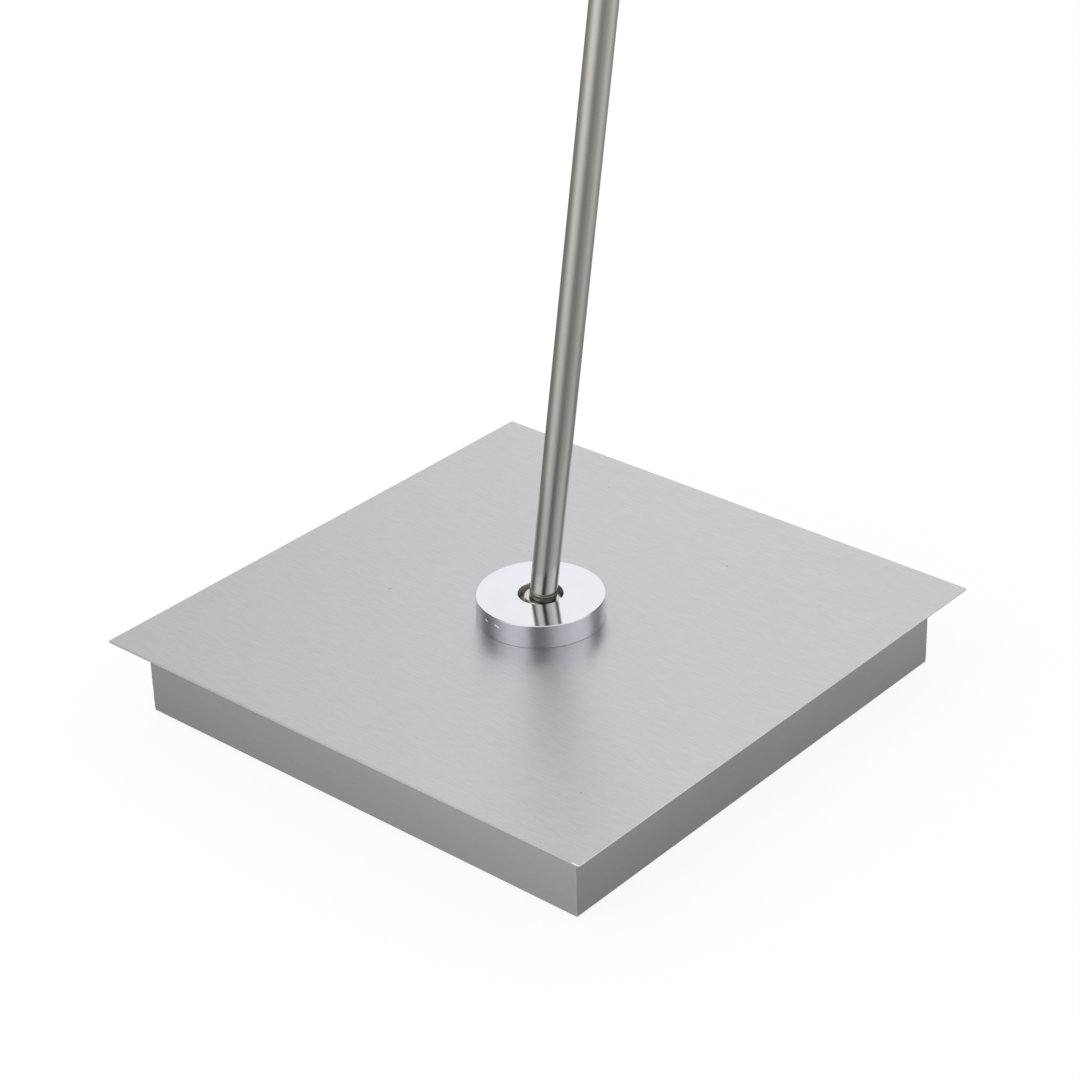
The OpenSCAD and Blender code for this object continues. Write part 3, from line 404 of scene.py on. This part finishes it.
topPlate = makePlate()
addBrushMap(topPlate, lambda x, y, z: (x + z, y + z / 2))  # z is for the upright edges
topPlate.data.materials.append(makeFinish("brushedPlate", plateLook["top"], plateSpecks))
topPlate.data.materials.append(makeFinish("filedEdge", plateLook["edge"], platePaintedTip))
facesUp = 0.9  # a face whose normal rises more than this is part of the top
for face in topPlate.data.polygons:
    face.material_index = 0 if face.normal.z > facesUp else 1
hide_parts("top_plate")
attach(topPlate, "base")
print("plate made")

# Folded box under the plate: four skirts bent down from one sheet, open by a hair at the corners.
# The burr is cut in steps down each corner's edge, and stays clear of the edge's two ends.
boxLook = {
    "sheet": 1.2, "bend": 2.4, "bendSteps": 6, "edgeRound": 0.15, "topRim": 8, "ringCorner": 0.01,
    "seam": 0.006, "seamRough": 0.28, "burrStep": 0.4, "burrEnd": 1, "burrSeed": 3,
    "skirt": {
        # The plate's steel, set darker: painted shade for the shadowed floor that the skirts mirror
        "colour": (0.5, 0.5, 0.507), "metal": 1, "roughness": 0.32, "brush": 0.4,
        "grains": {
            "fine": ((40, 40, 0.25), 3, 0, 0.12, 0.3),
            "broad": ((120, 120, 2), 2, 5, 0.05, 0),
            "dust": ((0.4, 0.4, 0.35), 1, 4, 0.24, 0),
            "cloud": ((50, 50, 30), 2, 9, 0.06, 0.2),
        },
        "relief": ("fine", 0.003, 0.2),
    },
    "paintedLowShade": 0.25, "cornerGlint": 0.3, "glintWidth": 0.32, "glintGrain": ((9, 9, 0.45), 1, 6),
    "glintFrom": 0.5,
}
low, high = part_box("tray")
boxHalf, boxTop, boxLow = high.x / mm, high.z / mm, low.z / mm


def makeBox():
    t, bend, e = boxLook["sheet"], boxLook["bend"], boxLook["edgeRound"]
    step, end = boxLook["burrStep"], boxLook["burrEnd"]
    flat = boxHalf - boxLook["topRim"]
    burrCount = int((boxTop - bend - boxLow - 2 * end) / step)
    upright = [(boxHalf, boxTop - bend - end - k * step, 0) for k in range(burrCount)]
    outline = roundedOutline([
        (flat, boxTop, 0), (boxHalf, boxTop, bend), *upright,
        (boxHalf, boxLow, e), (boxHalf - t, boxLow, e),
        (boxHalf - t, boxTop - t, bend - t), (flat, boxTop - t, 0)], boxLook["bendSteps"])
    burrs = random.Random(boxLook["burrSeed"])
    corners, faces = [], []
    for side in range(4):
        turn = Matrix.Rotation(math.pi / 2 * side, 3, "Z")
        loops = []
        for way in (-1, 1):
            rough = boxLook["seamRough"] if way > 0 else 0  # the burr is on one side of each corner
            burr = [burrs.random() ** 3 * rough if p == boxHalf else -boxLook["seam"] for p, z in outline]
            loops.append([turn @ Vector((p, way * (p + b), z)) for (p, z), b in zip(outline, burr)])
        sideCorners, sideFaces = skin(loops)
        count = len(outline)
        sideFaces.append(tuple(range(count)))
        sideFaces.append(tuple(range(count, 2 * count)))
        faces += [tuple(i + len(corners) for i in face) for face in sideFaces]
        corners += sideCorners
    ring = squareLoop(flat, boxLook["ringCorner"], boxTop, 1)
    loops = [holeLoop(plateLook["hole"], boxTop, ring), ring, [(x, y, boxTop - t) for x, y, _ in ring]]
    loops.append(holeLoop(plateLook["hole"], boxTop - t, ring))
    topCorners, topFaces = skin(loops, backToStart=True)
    faces += [tuple(i + len(corners) for i in face) for face in topFaces]
    corners += topCorners
    return makePiece("foldedBox", corners, faces)


# Painted shade, darker towards the floor, and painted highlights in bits along the upright corners
def boxPaintedLight(tree):
    place = splitPoint(tree, objectPoint(tree))
    upward = calc(tree, "MULTIPLY", place["Z"], 1 / (boxTop * mm))
    inward = calc(tree, "MINIMUM", calc(tree, "ABSOLUTE", place["X"]), calc(tree, "ABSOLUTE", place["Y"]))
    nearCorner = calc(tree, "GREATER_THAN", inward, (boxHalf - boxLook["glintWidth"]) * mm)
    bits = calc(tree, "GREATER_THAN", grain(tree, *boxLook["glintGrain"]), boxLook["glintFrom"])
    cornerGlints = calc(tree, "MULTIPLY_ADD", nearCorner, bits, clean)
    return [(upward, boxLook["paintedLowShade"]), (cornerGlints, boxLook["cornerGlint"])]


foldedBox = makeBox()
addBrushMap(foldedBox, lambda x, y, z: (z + x / 50, x + y))  # the share of x is for the level faces
foldedBox.data.materials.append(makeFinish("satinBox", boxLook["skirt"], boxPaintedLight))
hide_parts("tray")
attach(foldedBox, "base")
print("box made")

# Collar: turned, polished and chromed, with the ball's socket inside.
# Each row of nicks says: first and last place, in degrees round the collar and mm up, and how many.
collarLook = {
    "rim": 0.38, "rimRound": 0.1, "footRound": 0.1, "roundSteps": 4, "mouthRim": 0.15, "neck": 10.5,
    "socket": 12.8, "socketSteps": 12, "topBand": 0.1, "sides": 256,
    "chrome": {
        "colour": (0.79, 0.8, 0.838), "metal": 1, "roughness": 0.08, "glintMarks": True,
        "grains": {
            "smudge": ((12, 12, 12), 3, 0, 0.06, 0.6),
            "fine": ((0.5, 0.5, 0.12), 2, 4, 0.1, 0.3),
        },
        "relief": ("fine", 0.002, 0.15),
    },
    "nicks": (((164.4, 47.93), (166.4, 47.5), 5), ((177.1, 47.92), (181.1, 47.26), 9)),
    "nickSize": 0.29, "nickGlint": 0.15,
    "mouth": {
        "colour": (0.48, 0.45, 0.39), "metal": 0.6, "roughness": 0.45,
        "grains": {
            "rings": ((4, 4, 0.15), 2, 0, 0.3, 0),
            "stain": ((3, 3, 2), 3, 2, 0.3, 0.4),
        },
        "relief": ("rings", 0.01, 0.4),
    },
}
low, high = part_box("collar")
collarRadius, collarLow, collarTop = high.x / mm, low.z / mm, high.z / mm
ballMiddle = jointPlace("pole_tilt").z / mm


def makeCollar():
    rim, rimRound, mouthRim = collarLook["rim"], collarLook["rimRound"], collarLook["mouthRim"]
    neck, socket, steps = collarLook["neck"], collarLook["socket"], collarLook["socketSteps"]
    outline = roundedOutline([
        (collarRadius, collarLow, collarLook["footRound"]),
        (collarRadius, collarTop - rim, rimRound), (collarRadius - rim, collarTop, rimRound),
        (neck + mouthRim, collarTop, 0), (neck, collarTop - mouthRim, 0)], collarLook["roundSteps"])
    first = math.asin(neck / socket)
    last = math.acos((collarLow - ballMiddle) / socket)
    for k in range(steps + 1):
        angle = first + (last - first) * k / steps
        outline.append((socket * math.sin(angle), ballMiddle + socket * math.cos(angle)))
    return turned("collarRing", outline, collarLook["sides"])


# Real nicks, painted white and not metal, so that they light up as painted highlights
def collarGlintNicks(tree):
    places = []
    for first, last, count in collarLook["nicks"]:
        for k in range(count):
            degrees, z = Vector(first).lerp(Vector(last), k / (count - 1))
            angle = math.radians(degrees)
            places.append((collarRadius * math.cos(angle), collarRadius * math.sin(angle), z))
    return [(speckMask(tree, places, collarLook["nickSize"]), collarLook["nickGlint"])]


chrome = makeFinish("polishedChrome", collarLook["chrome"], collarGlintNicks)
collarRing = makeCollar()
collarRing.data.materials.append(chrome)
collarRing.data.materials.append(makeFinish("boredMouth", collarLook["mouth"]))
for face in collarRing.data.polygons:
    fromAxis = math.hypot(face.center.x, face.center.y)
    if fromAxis < collarLook["socket"] * mm and face.center.z < (collarTop - collarLook["topBand"]) * mm:
        face.material_index = 1
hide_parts("collar")
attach(collarRing, "base")
print("collar made")

# Ball that the pole stands on, flat above and below
ballLook = {
    "radius": 12.5, "topFlat": 8.4, "lowFlat": 8.6, "bore": 4.05, "steps": 48, "sides": 160,
    "finish": {
        "colour": (0.66, 0.65, 0.625), "metal": 1, "roughness": 0.16,
        "grains": {
            "smudge": ((6, 6, 6), 3, 0, 0.08, 0.5),
            "rings": ((8, 8, 0.15), 2, 0, 0.06, 0.3),
        },
        "relief": ("rings", 0.002, 0.15),
    },
}
ballTop = math.sqrt(ballLook["radius"] ** 2 - ballLook["topFlat"] ** 2)
ballLow = -math.sqrt(ballLook["radius"] ** 2 - ballLook["lowFlat"] ** 2)


def makeBall():
    radius, bore, steps = ballLook["radius"], ballLook["bore"], ballLook["steps"]
    first, last = math.asin(ballLook["topFlat"] / radius), math.pi - math.asin(ballLook["lowFlat"] / radius)
    outline = [(bore, radius * math.cos(last)), (bore, radius * math.cos(first))]
    for k in range(steps + 1):
        angle = first + (last - first) * k / steps
        outline.append((radius * math.sin(angle), radius * math.cos(angle)))
    return turned("pivotBall", outline, ballLook["sides"], poleAxes)


pivotBall = makeBall()
pivotBall.data.materials.append(makeFinish("ballPlate", ballLook["finish"]))
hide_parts("pivot_ball")
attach(pivotBall, "pole")
print("ball made")

# Pole: a rounded foot, two tubes and the ring between them, satin nickel
poleLook = {
    "radius": 6.35, "inside": 5.35, "edgeRound": 0.12, "lowerLength": 700, "upperLength": 690, "sides": 128,
    "footLength": 3.2, "footRound": 0.7, "footSteps": 5, "line": 0.06, "lineRound": 0.04, "tubeSteps": 3,
    "ring": 2, "ringRound": 0.15, "spigot": 5.3, "spigotLength": 25, "spigotRound": 0.3, "joinerBore": 2.1,
    "nickel": {
        "colour": (0.62, 0.60, 0.565), "metal": 1, "roughness": 0.2, "brush": 0.3, "brushedAround": True,
        "grains": {
            "fine": ((0.18, 0.18, 30), 3, 0, 0.12, 0.3),
            "broad": ((1.2, 1.2, 60), 2, 3, 0.08, 0),
            "smudge": ((15, 15, 40), 2, 6, 0.06, 0.3),
        },
        "relief": ("fine", 0.002, 0.2),
    },
    "shadeFrom": 0.2, "shadeHeight": 2.2, "footShadeShare": 0.75,  # full at its foot, gone above its height
}


def tubeOutline(z, length):
    r, inside, e = poleLook["radius"], poleLook["inside"], poleLook["edgeRound"]
    return roundedOutline([(inside, z, 0), (r, z, e), (r, z + length, e), (inside, z + length, 0)],
                          poleLook["tubeSteps"])


def footOutline():
    r, bore, line, lineRound = poleLook["radius"], ballLook["bore"], poleLook["line"], poleLook["lineRound"]
    middle, end = ballTop + poleLook["footLength"] / 2, ballTop + poleLook["footLength"]
    spigot, tip = poleLook["spigot"], end + poleLook["spigotLength"]
    return roundedOutline([
        (bore, ballTop, 0), (r, ballTop, poleLook["footRound"]), (r, middle - line, lineRound),
        (r - line, middle, lineRound), (r, middle + line, lineRound), (r, end, poleLook["edgeRound"]),
        (spigot, end, 0), (spigot, tip, poleLook["spigotRound"]), (bore, tip, 0)], poleLook["footSteps"])


def joinerOutline(low, high):
    r, ringRound, bore = poleLook["radius"], poleLook["ringRound"], poleLook["joinerBore"]
    spigot, reach, tipRound = poleLook["spigot"], poleLook["spigotLength"], poleLook["spigotRound"]
    return roundedOutline([
        (bore, low - reach, 0), (spigot, low - reach, tipRound), (spigot, low, 0), (r, low, ringRound),
        (r, high, ringRound), (spigot, high, 0), (spigot, high + reach, tipRound), (bore, high + reach, 0)],
        poleLook["tubeSteps"])


# Painted shade on the pole's foot, where it stands in the collar's mouth: darkest at the foot, gone above its
# height
def footPaintedShade(tree):
    height = splitPoint(tree, objectPoint(tree))["Z"]
    above = calc(tree, "SUBTRACT", height, (ballTop + poleLook["shadeFrom"]) * mm)
    rise = calc(tree, "DIVIDE", above, poleLook["shadeHeight"] * mm)
    bright = calc(tree, "MINIMUM", calc(tree, "MAXIMUM", rise, 0.0), 1.0)
    return [(calc(tree, "SUBTRACT", bright, 0.5), poleLook["footShadeShare"])]  # never brighter than the pole


nickel = makeFinish("satinNickel", poleLook["nickel"])
footNickel = makeFinish("footNickel", poleLook["nickel"], footPaintedShade)
lowerZ = ballTop + poleLook["footLength"]
joinerZ = lowerZ + poleLook["lowerLength"]
upperZ = joinerZ + poleLook["ring"]
for name, outline, node, finish in (
        ("poleFoot", footOutline(), "pole_foot", footNickel),
        ("lowerTube", tubeOutline(lowerZ, poleLook["lowerLength"]), "lower_tube", nickel),
        ("tubeJoiner", joinerOutline(joinerZ, upperZ), "tube_joiner", nickel),
        ("upperTube", tubeOutline(upperZ, poleLook["upperLength"]), "upper_tube", nickel)):
    piece = turned(name, outline, poleLook["sides"], poleAxes)
    piece.data.materials.append(finish)
    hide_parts(node)
    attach(piece, "pole")
print("pole made")

# The other pieces keep their CAD shape, with their edges eased, and each gets its own finish
looks = {  # colour, metal, roughness, grain in mm, grain depth in mm, mottling
    "raw_steel": ((0.16, 0.16, 0.165), 1, 0.5, (3, 3, 3), 0.05, 0.5),
    "zinc": ((0.55, 0.55, 0.53), 1, 0.3, (0.8, 0.8, 0.8), 0.01, 0.2),
    "dark_sheet": ((0.075, 0.075, 0.08), 0, 0.5, (0.4, 0.4, 0.4), 0.02, 0.15),
    "foot_rubber": ((0.02, 0.02, 0.02), 0, 0.7, (0.3, 0.3, 0.3), 0.02, 0.3),
    "spring_steel": ((0.10, 0.10, 0.105), 1, 0.35, (0.5, 0.5, 0.5), 0.01, 0.3),
    "black_plastic": ((0.015, 0.015, 0.015), 0, 0.45, (0.3, 0.3, 0.3), 0.015, 0.2),
    "white_plastic": ((0.62, 0.60, 0.52), 0, 0.4, (0.6, 0.6, 0.6), 0.01, 0.06),
    "driver_plastic": ((0.55, 0.55, 0.53), 0, 0.5, (0.4, 0.4, 0.4), 0.02, 0.08),
    "wire_brown": ((0.06, 0.025, 0.012), 0, 0.4, (0.8, 0.8, 0.8), 0.01, 0.2),
    "wire_red": ((0.32, 0.02, 0.015), 0, 0.4, (0.8, 0.8, 0.8), 0.01, 0.2),
    "lead_black": ((0.012, 0.012, 0.012), 0, 0.45, (0.8, 0.8, 0.8), 0.01, 0.2),
    "nylon": ((0.72, 0.71, 0.66), 0, 0.35, (0.8, 0.8, 0.8), 0.01, 0.06),
    "brass_plated": ((0.50, 0.38, 0.15), 1, 0.25, (6, 6, 0.2), 0.01, 0.15),
    "cap_grey": ((0.035, 0.035, 0.04), 0, 0.5, (0.25, 0.25, 0.25), 0.02, 0.2),
    "board_white": ((0.78, 0.78, 0.75), 0, 0.3, (1.5, 1.5, 1.5), 0.01, 0.05),
    "chip_yellow": ((0.78, 0.60, 0.10), 0, 0.2, (0.5, 0.5, 0.5), 0.01, 0.1),
}


def plainLook(colour, metal, roughness, size, depth, mottling):
    return {
        "colour": colour, "metal": metal, "roughness": roughness,
        "grains": {
            "texture": (size, 3, 0, mottling, 0.3),
            "cloud": ((25, 25, 25), 2, 2, mottling / 2, 0.3),
        },
        "relief": ("texture", depth, 0.5),
    }


finishes = {"polished_chrome": chrome, "satin_nickel": nickel}
for slot, values in looks.items():
    finishes[slot] = makeFinish(slot, plainLook(*values))

# Head: anodised aluminium brushed along its length, an opal diffuser and a turned button
headLook = {
    "housing": {
        "colour": (0.56, 0.56, 0.57), "metal": 1, "roughness": 0.32,
        "grains": {
            "fine": ((60, 0.2, 0.2), 3, 0, 0.14, 0.3),
            "broad": ((200, 1.5, 1.5), 2, 3, 0.08, 0.2),
        },
        "relief": ("fine", 0.004, 0.12),
    },
    "diffuser": {
        "colour": (0.86, 0.86, 0.84), "metal": 0, "roughness": 0.35,
        "grains": {
            "texture": ((0.4, 0.4, 0.4), 2, 0, 0.03, 0.3),
            "cloud": ((30, 30, 30), 2, 0, 0.03, 0),
        },
        "relief": ("texture", 0.01, 0.3),
    },
    "milky": 0.2, "milkyDepth": 3,
    "button": {
        "colour": (0.62, 0.62, 0.63), "metal": 1, "roughness": 0.25,
        "grains": {"rings": ((0.15, 0.15, 5), 2, 0, 0.15, 0.4)},
        "relief": ("rings", 0.005, 0.3),
    },
}
alongHead = (0, 0, lean["direction"])
opal = makeFinish("opalDiffuser", headLook["diffuser"])
opalSurface = opal.node_tree.nodes["Principled BSDF"]
opalSurface.inputs["Subsurface Weight"].default_value = headLook["milky"]
opalSurface.inputs["Subsurface Radius"].default_value = [headLook["milkyDepth"] * mm] * 3
finishes["brushed_aluminium"] = makeFinish("brushedAluminium", headLook["housing"], turn=alongHead)
finishes["opal"] = opal
finishes["button_metal"] = makeFinish("turnedButton", headLook["button"])

# Lead from the pole's top into the head; places on the head's axes
leadLook = {
    "radius": 1.4, "side": (0, 1, 0), "pinDepth": 41, "mouthDepth": 16.4,
    "bendFrom": (0, 0, -15), "bendTo": (20, 0, -4),
    "loop": ((4, 0, -12.2), (10.4, 0, -10.8), (16.5, 4, -7.5), (21.2, 8, -2.25), (24, 8, -2.25),
             (31.7, 8, -2.25)),
}
down = leanTip @ Vector((0, 0, -1))
leadRadius, mouthDepth = leadLook["radius"], leadLook["mouthDepth"]
inFork = [down * depth for depth in (leadLook["pinDepth"], mouthDepth + 2 * leadRadius, mouthDepth)]
leadPath = smoothPath([*inFork, *leadLook["loop"]])
headLead = makeTube("headLead", leadPath, leadRadius, leadLook["side"], headAxes)
headLead.data.materials.append(finishes["lead_black"])
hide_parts("head_lead")
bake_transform(headLead)

# Lead with slack, from under the ball to the driver, made as two pieces
slackLook = {
    "radius": 1.8, "side": (1, 0.2, 0), "belowBall": 6.3, "swing": 25, "intoDriver": 8.7,
    "tipFrom": (0, 0, 25), "tipTo": (0, 0, 16.5), "turnFrom": (0, -4, 16), "turnTo": (13, -28, 10),
}


def slackRoute():
    r = slackLook["radius"]
    low, high = (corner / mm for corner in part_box("led_driver"))
    endX, endY, endZ = (low.x + high.x) / 2, low.y + slackLook["intoDriver"], (low.z + high.z) / 2
    besideDriver = endY - (high.x - low.x) / 2
    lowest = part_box("bottom_cover")[1].z / mm + 3 * r
    heights = [ballLow - slackLook["belowBall"] - k * r for k in range(3)]
    return [
        *(poleAxes @ Vector((0, 0, height * mm)) / mm for height in heights),
        (r, -5 * r, lowest + r), (endX / 6, -slackLook["swing"], lowest), (endX / 2, besideDriver, lowest),
        (endX - 3 * r, besideDriver, endZ - r), (endX, endY - 6 * r, endZ), (endX, endY - 3 * r, endZ),
        (endX, endY, endZ)]


slackPath = smoothPath(slackRoute())
split = next(i for i, point in enumerate(slackPath) if point.z < slackLook["tipTo"][2])
for name, path, bodies, span in (
        ("slackLeadTop", slackPath[:split + 1], ("pole", "seat"), ("tipFrom", "tipTo")),
        ("slackLead", slackPath[split:], ("seat", "base"), ("turnFrom", "turnTo"))):
    piece = makeTube(name, path, slackLook["radius"], slackLook["side"])
    piece.data.materials.append(finishes["lead_black"])
    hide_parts("slack_lead")
    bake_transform(piece)
print("leads made")

# Eased edges, only for pieces with plain edges: the gap in metres, angles in degrees, rounds in mm
easing = {
    "weldGap": 1e-6, "flatWithin": 0.5, "edgeFrom": 40, "steps": 2,
    "rounds": {
        "swivel_fork": 0.25, "head_socket": 0.2, "hinge_tongue": 0.25, "hinge_bolt": 0.2, "cap_nut": 0.15,
        "head_housing": 0.25, "rear_end_cap": 0.3, "front_end_cap": 0.3, "diffuser": 0.15,
        "dimmer_button": 0.25, "thrust_washer": 0.1, "cord_gland": 0.25, "led_driver": 0.4,
        "terminal_block": 0.3, "ballast": 0.5,
    },
}


def easeEdges(node, width):
    weld = node.modifiers.new("weld", "WELD")
    weld.merge_threshold = easing["weldGap"]
    flats = node.modifiers.new("flats", "DECIMATE")  # one face for each flat, so that the rounding runs clean
    flats.decimate_type = "DISSOLVE"
    flats.angle_limit = math.radians(easing["flatWithin"])
    bevel = node.modifiers.new("edges", "BEVEL")
    bevel.width = width * mm
    bevel.segments = easing["steps"]
    bevel.limit_method = "ANGLE"
    bevel.angle_limit = math.radians(easing["edgeFrom"])
    keepFlat(node)


for name, node in nodes.items():
    if node.hide_render:
        continue
    finish = finishes[slotOf[name]]
    if not node.data.materials:
        node.data.materials.append(finish)
    for i in range(len(node.data.materials)):
        node.data.materials[i] = finish
    if name in easing["rounds"]:
        easeEdges(node, easing["rounds"][name])
print("finishes set")

# Floor and studio. Heights are the upward part of a direction: 0 at the horizon, 1 overhead. A ring is
# the brightness round the lamp, as metal sees it: degrees to the right of the camera, and how bright.
studio = {
    "floorSize": 30, "floorGap": 0.0002, "floorColour": (0.97, 0.97, 0.97, 1), "floorRoughness": 0.9,
    "shadow": 0.1, "level": 0.92, "cameraDirection": -138.5,
    "horizon": 0.15,  # how far above and below the horizon the low and the high ring mix
    "brighten": 2.17, "plainHeight": -0.42,  # the low ring brightens upwards from this height
    "floorFade": (-0.5, -0.54), "gapFill": 0.42, "gaps": ((0.34, 0.22), (0.62, 0.74)),
    "overheadFade": (0.75, 0.95),
    "keyPower": 14, "keySize": 1.6, "keyPlace": (-1.4, 0.6, 2.4), "keyAim": (0, 0, 0.1),
    "lowRing": (
        (-180, 0.25), (-153, 0.19), (-131, 0.2), (-116, 0.22), (-104, 0.27), (-92, 0.36), (-84, 0.44),
        (-73, 0.56), (-64, 0.62), (-55, 0.64), (-46, 0.6), (-36, 0.53), (-25, 0.4), (-12, 0.27), (-2, 0.235),
        (8, 0.25), (22, 0.33), (39, 0.4), (57, 0.55), (70, 0.66), (82, 0.7), (100, 0.62), (130, 0.36),
        (180, 0.25)),
    "floorRing": (
        (-180, 0.4), (-120, 0.4), (-96, 0.56), (-88.8, 0.62), (-85.3, 0.65), (-82, 0.72), (-60, 0.64),
        (0, 0.4), (50, 0.5), (77, 0.52), (88, 0.42), (96, 0.31), (101, 0.25), (107, 0.22), (120, 0.22),
        (140, 0.3), (180, 0.4)),
    "highRing": (
        (-180, 1.05), (-176, 0.985), (-173, 0.87), (-170, 0.74), (-165, 0.62), (-158, 0.55), (-145, 0.74),
        (-128, 0.34), (-110, 0.13), (-96, 0.24), (-84, 0.6), (-68, 0.86), (-55, 1.0), (-35, 0.92),
        (-22, 0.66), (-15, 0.03), (-4, 0.0), (5, 0.06), (13, 0.3), (29, 0.66), (51, 0.86), (70, 0.98),
        (90, 0.86), (103, 0.22), (118, 0.12), (134, 0.55), (150, 0.76), (163, 0.84), (172, 0.99), (180, 1.05)),
}
brightest = 2  # the top of a ring's curve, which itself runs from 0 to 1


def brightnessRing(tree, turn, points):
    curve = tree.nodes.new("ShaderNodeFloatCurve")
    line = curve.mapping.curves[0]
    line.points[0].location = (0, points[0][1] / brightest)
    line.points[1].location = (1, points[-1][1] / brightest)
    for degrees, bright in points[1:-1]:
        line.points.new((degrees + 180) / 360, bright / brightest)
    for point in line.points:
        point.handle_type = "AUTO_CLAMPED"
    curve.mapping.update()
    tree.links.new(turn, curve.inputs["Value"])
    return calc(tree, "MULTIPLY", curve.outputs[0], brightest)


def ringLight(tree):
    way = splitPoint(tree, tree.nodes.new("ShaderNodeTexCoord").outputs["Generated"])
    height = way["Z"]
    angle = calc(tree, "ARCTAN2", way["Y"], way["X"])
    start = 0.5 - studio["cameraDirection"] / 360 + 1
    turn = calc(tree, "FRACT", calc(tree, "MULTIPLY_ADD", angle, 1 / (2 * math.pi), start))
    rise = calc(tree, "MULTIPLY_ADD", height, studio["brighten"], -studio["plainHeight"] * studio["brighten"])
    low = brightnessRing(tree, turn, studio["lowRing"])
    low = calc(tree, "MULTIPLY", low, calc(tree, "POWER", math.e, rise))
    floorStep = calc(tree, "SUBTRACT", brightnessRing(tree, turn, studio["floorRing"]), low)
    low = calc(tree, "MULTIPLY_ADD", floorStep, fade(tree, height, *studio["floorFade"]), low)
    high = brightnessRing(tree, turn, studio["highRing"])
    for first, last in studio["gaps"]:
        high = calc(tree, "MAXIMUM", high, fade(tree, height, first, last, studio["gapFill"]))
    step = calc(tree, "SUBTRACT", high, low)
    upper = fade(tree, height, -studio["horizon"], studio["horizon"])
    seen = calc(tree, "MULTIPLY_ADD", step, upper, low)
    overhead = fade(tree, height, *studio["overheadFade"])
    return calc(tree, "MULTIPLY_ADD", calc(tree, "SUBTRACT", 1.0, seen), overhead, seen)


def lightStudio():
    world = bpy.data.worlds.new("studio")
    bpy.context.scene.world = world
    world.use_nodes = True
    world.cycles.sampling_method = "NONE"
    tree = world.node_tree
    tree.nodes.clear()
    path = tree.nodes.new("ShaderNodeLightPath")
    metalView = calc(tree, "MULTIPLY", path.outputs["Is Glossy Ray"], ringLight(tree))
    direct = calc(tree, "MAXIMUM", path.outputs["Is Camera Ray"], path.outputs["Is Transmission Ray"])
    dull = calc(tree, "MULTIPLY", path.outputs["Is Diffuse Ray"], studio["level"])
    total = calc(tree, "ADD", calc(tree, "ADD", metalView, direct), dull)
    background = tree.nodes.new("ShaderNodeBackground")
    background.inputs["Color"].default_value = (1, 1, 1, 1)
    tree.links.new(total, background.inputs["Strength"])
    output = tree.nodes.new("ShaderNodeOutputWorld")
    tree.links.new(background.outputs[0], output.inputs["Surface"])


def addKeyLamp():
    key = bpy.data.lights.new("key", "AREA")
    key.shape = "DISK"
    key.size = studio["keySize"]
    key.energy = studio["keyPower"]
    lamp = bpy.data.objects.new("key", key)
    lamp.location = studio["keyPlace"]
    lamp.rotation_euler = (Vector(studio["keyAim"]) - lamp.location).to_track_quat("-Z", "Y").to_euler()
    lamp.visible_glossy = False
    bpy.context.scene.collection.objects.link(lamp)


# Nearly white to the camera, with a trace of the lamp's shadow, and plain pale to all other light
def floorFinish():
    finish = bpy.data.materials.new("paleFloor")
    finish.use_nodes = True
    tree = finish.node_tree
    surface = tree.nodes["Principled BSDF"]
    surface.inputs["Roughness"].default_value = studio["floorRoughness"]
    surface.inputs["Specular IOR Level"].default_value = 0
    surface.inputs["Base Color"].default_value = studio["floorColour"]
    glow = tree.nodes.new("ShaderNodeEmission")
    path = tree.nodes.new("ShaderNodeLightPath")
    mix = tree.nodes.new("ShaderNodeMixShader")
    seen = calc(tree, "MAXIMUM", path.outputs["Is Camera Ray"], path.outputs["Is Transmission Ray"])
    tree.links.new(calc(tree, "MULTIPLY", seen, 1 - studio["shadow"]), mix.inputs["Fac"])
    tree.links.new(surface.outputs[0], mix.inputs[1])
    tree.links.new(glow.outputs[0], mix.inputs[2])
    tree.links.new(mix.outputs[0], tree.nodes["Material Output"].inputs["Surface"])
    return finish


def makeFloor():
    half = studio["floorSize"] / 2
    shape = bpy.data.meshes.new("floor")
    corners = [(-half, -half, 0), (half, -half, 0), (half, half, 0), (-half, half, 0)]
    shape.from_pydata(corners, [], [(0, 1, 2, 3)])
    shape.materials.append(floorFinish())
    floor = bpy.data.objects.new("floor", shape)
    bpy.context.scene.collection.objects.link(floor)
    floor.location.z = -studio["floorGap"]
    floor.visible_glossy = False


lightStudio()
addKeyLamp()
makeFloor()
bpy.context.scene.view_settings.view_transform = "Standard"
print("studio lit")
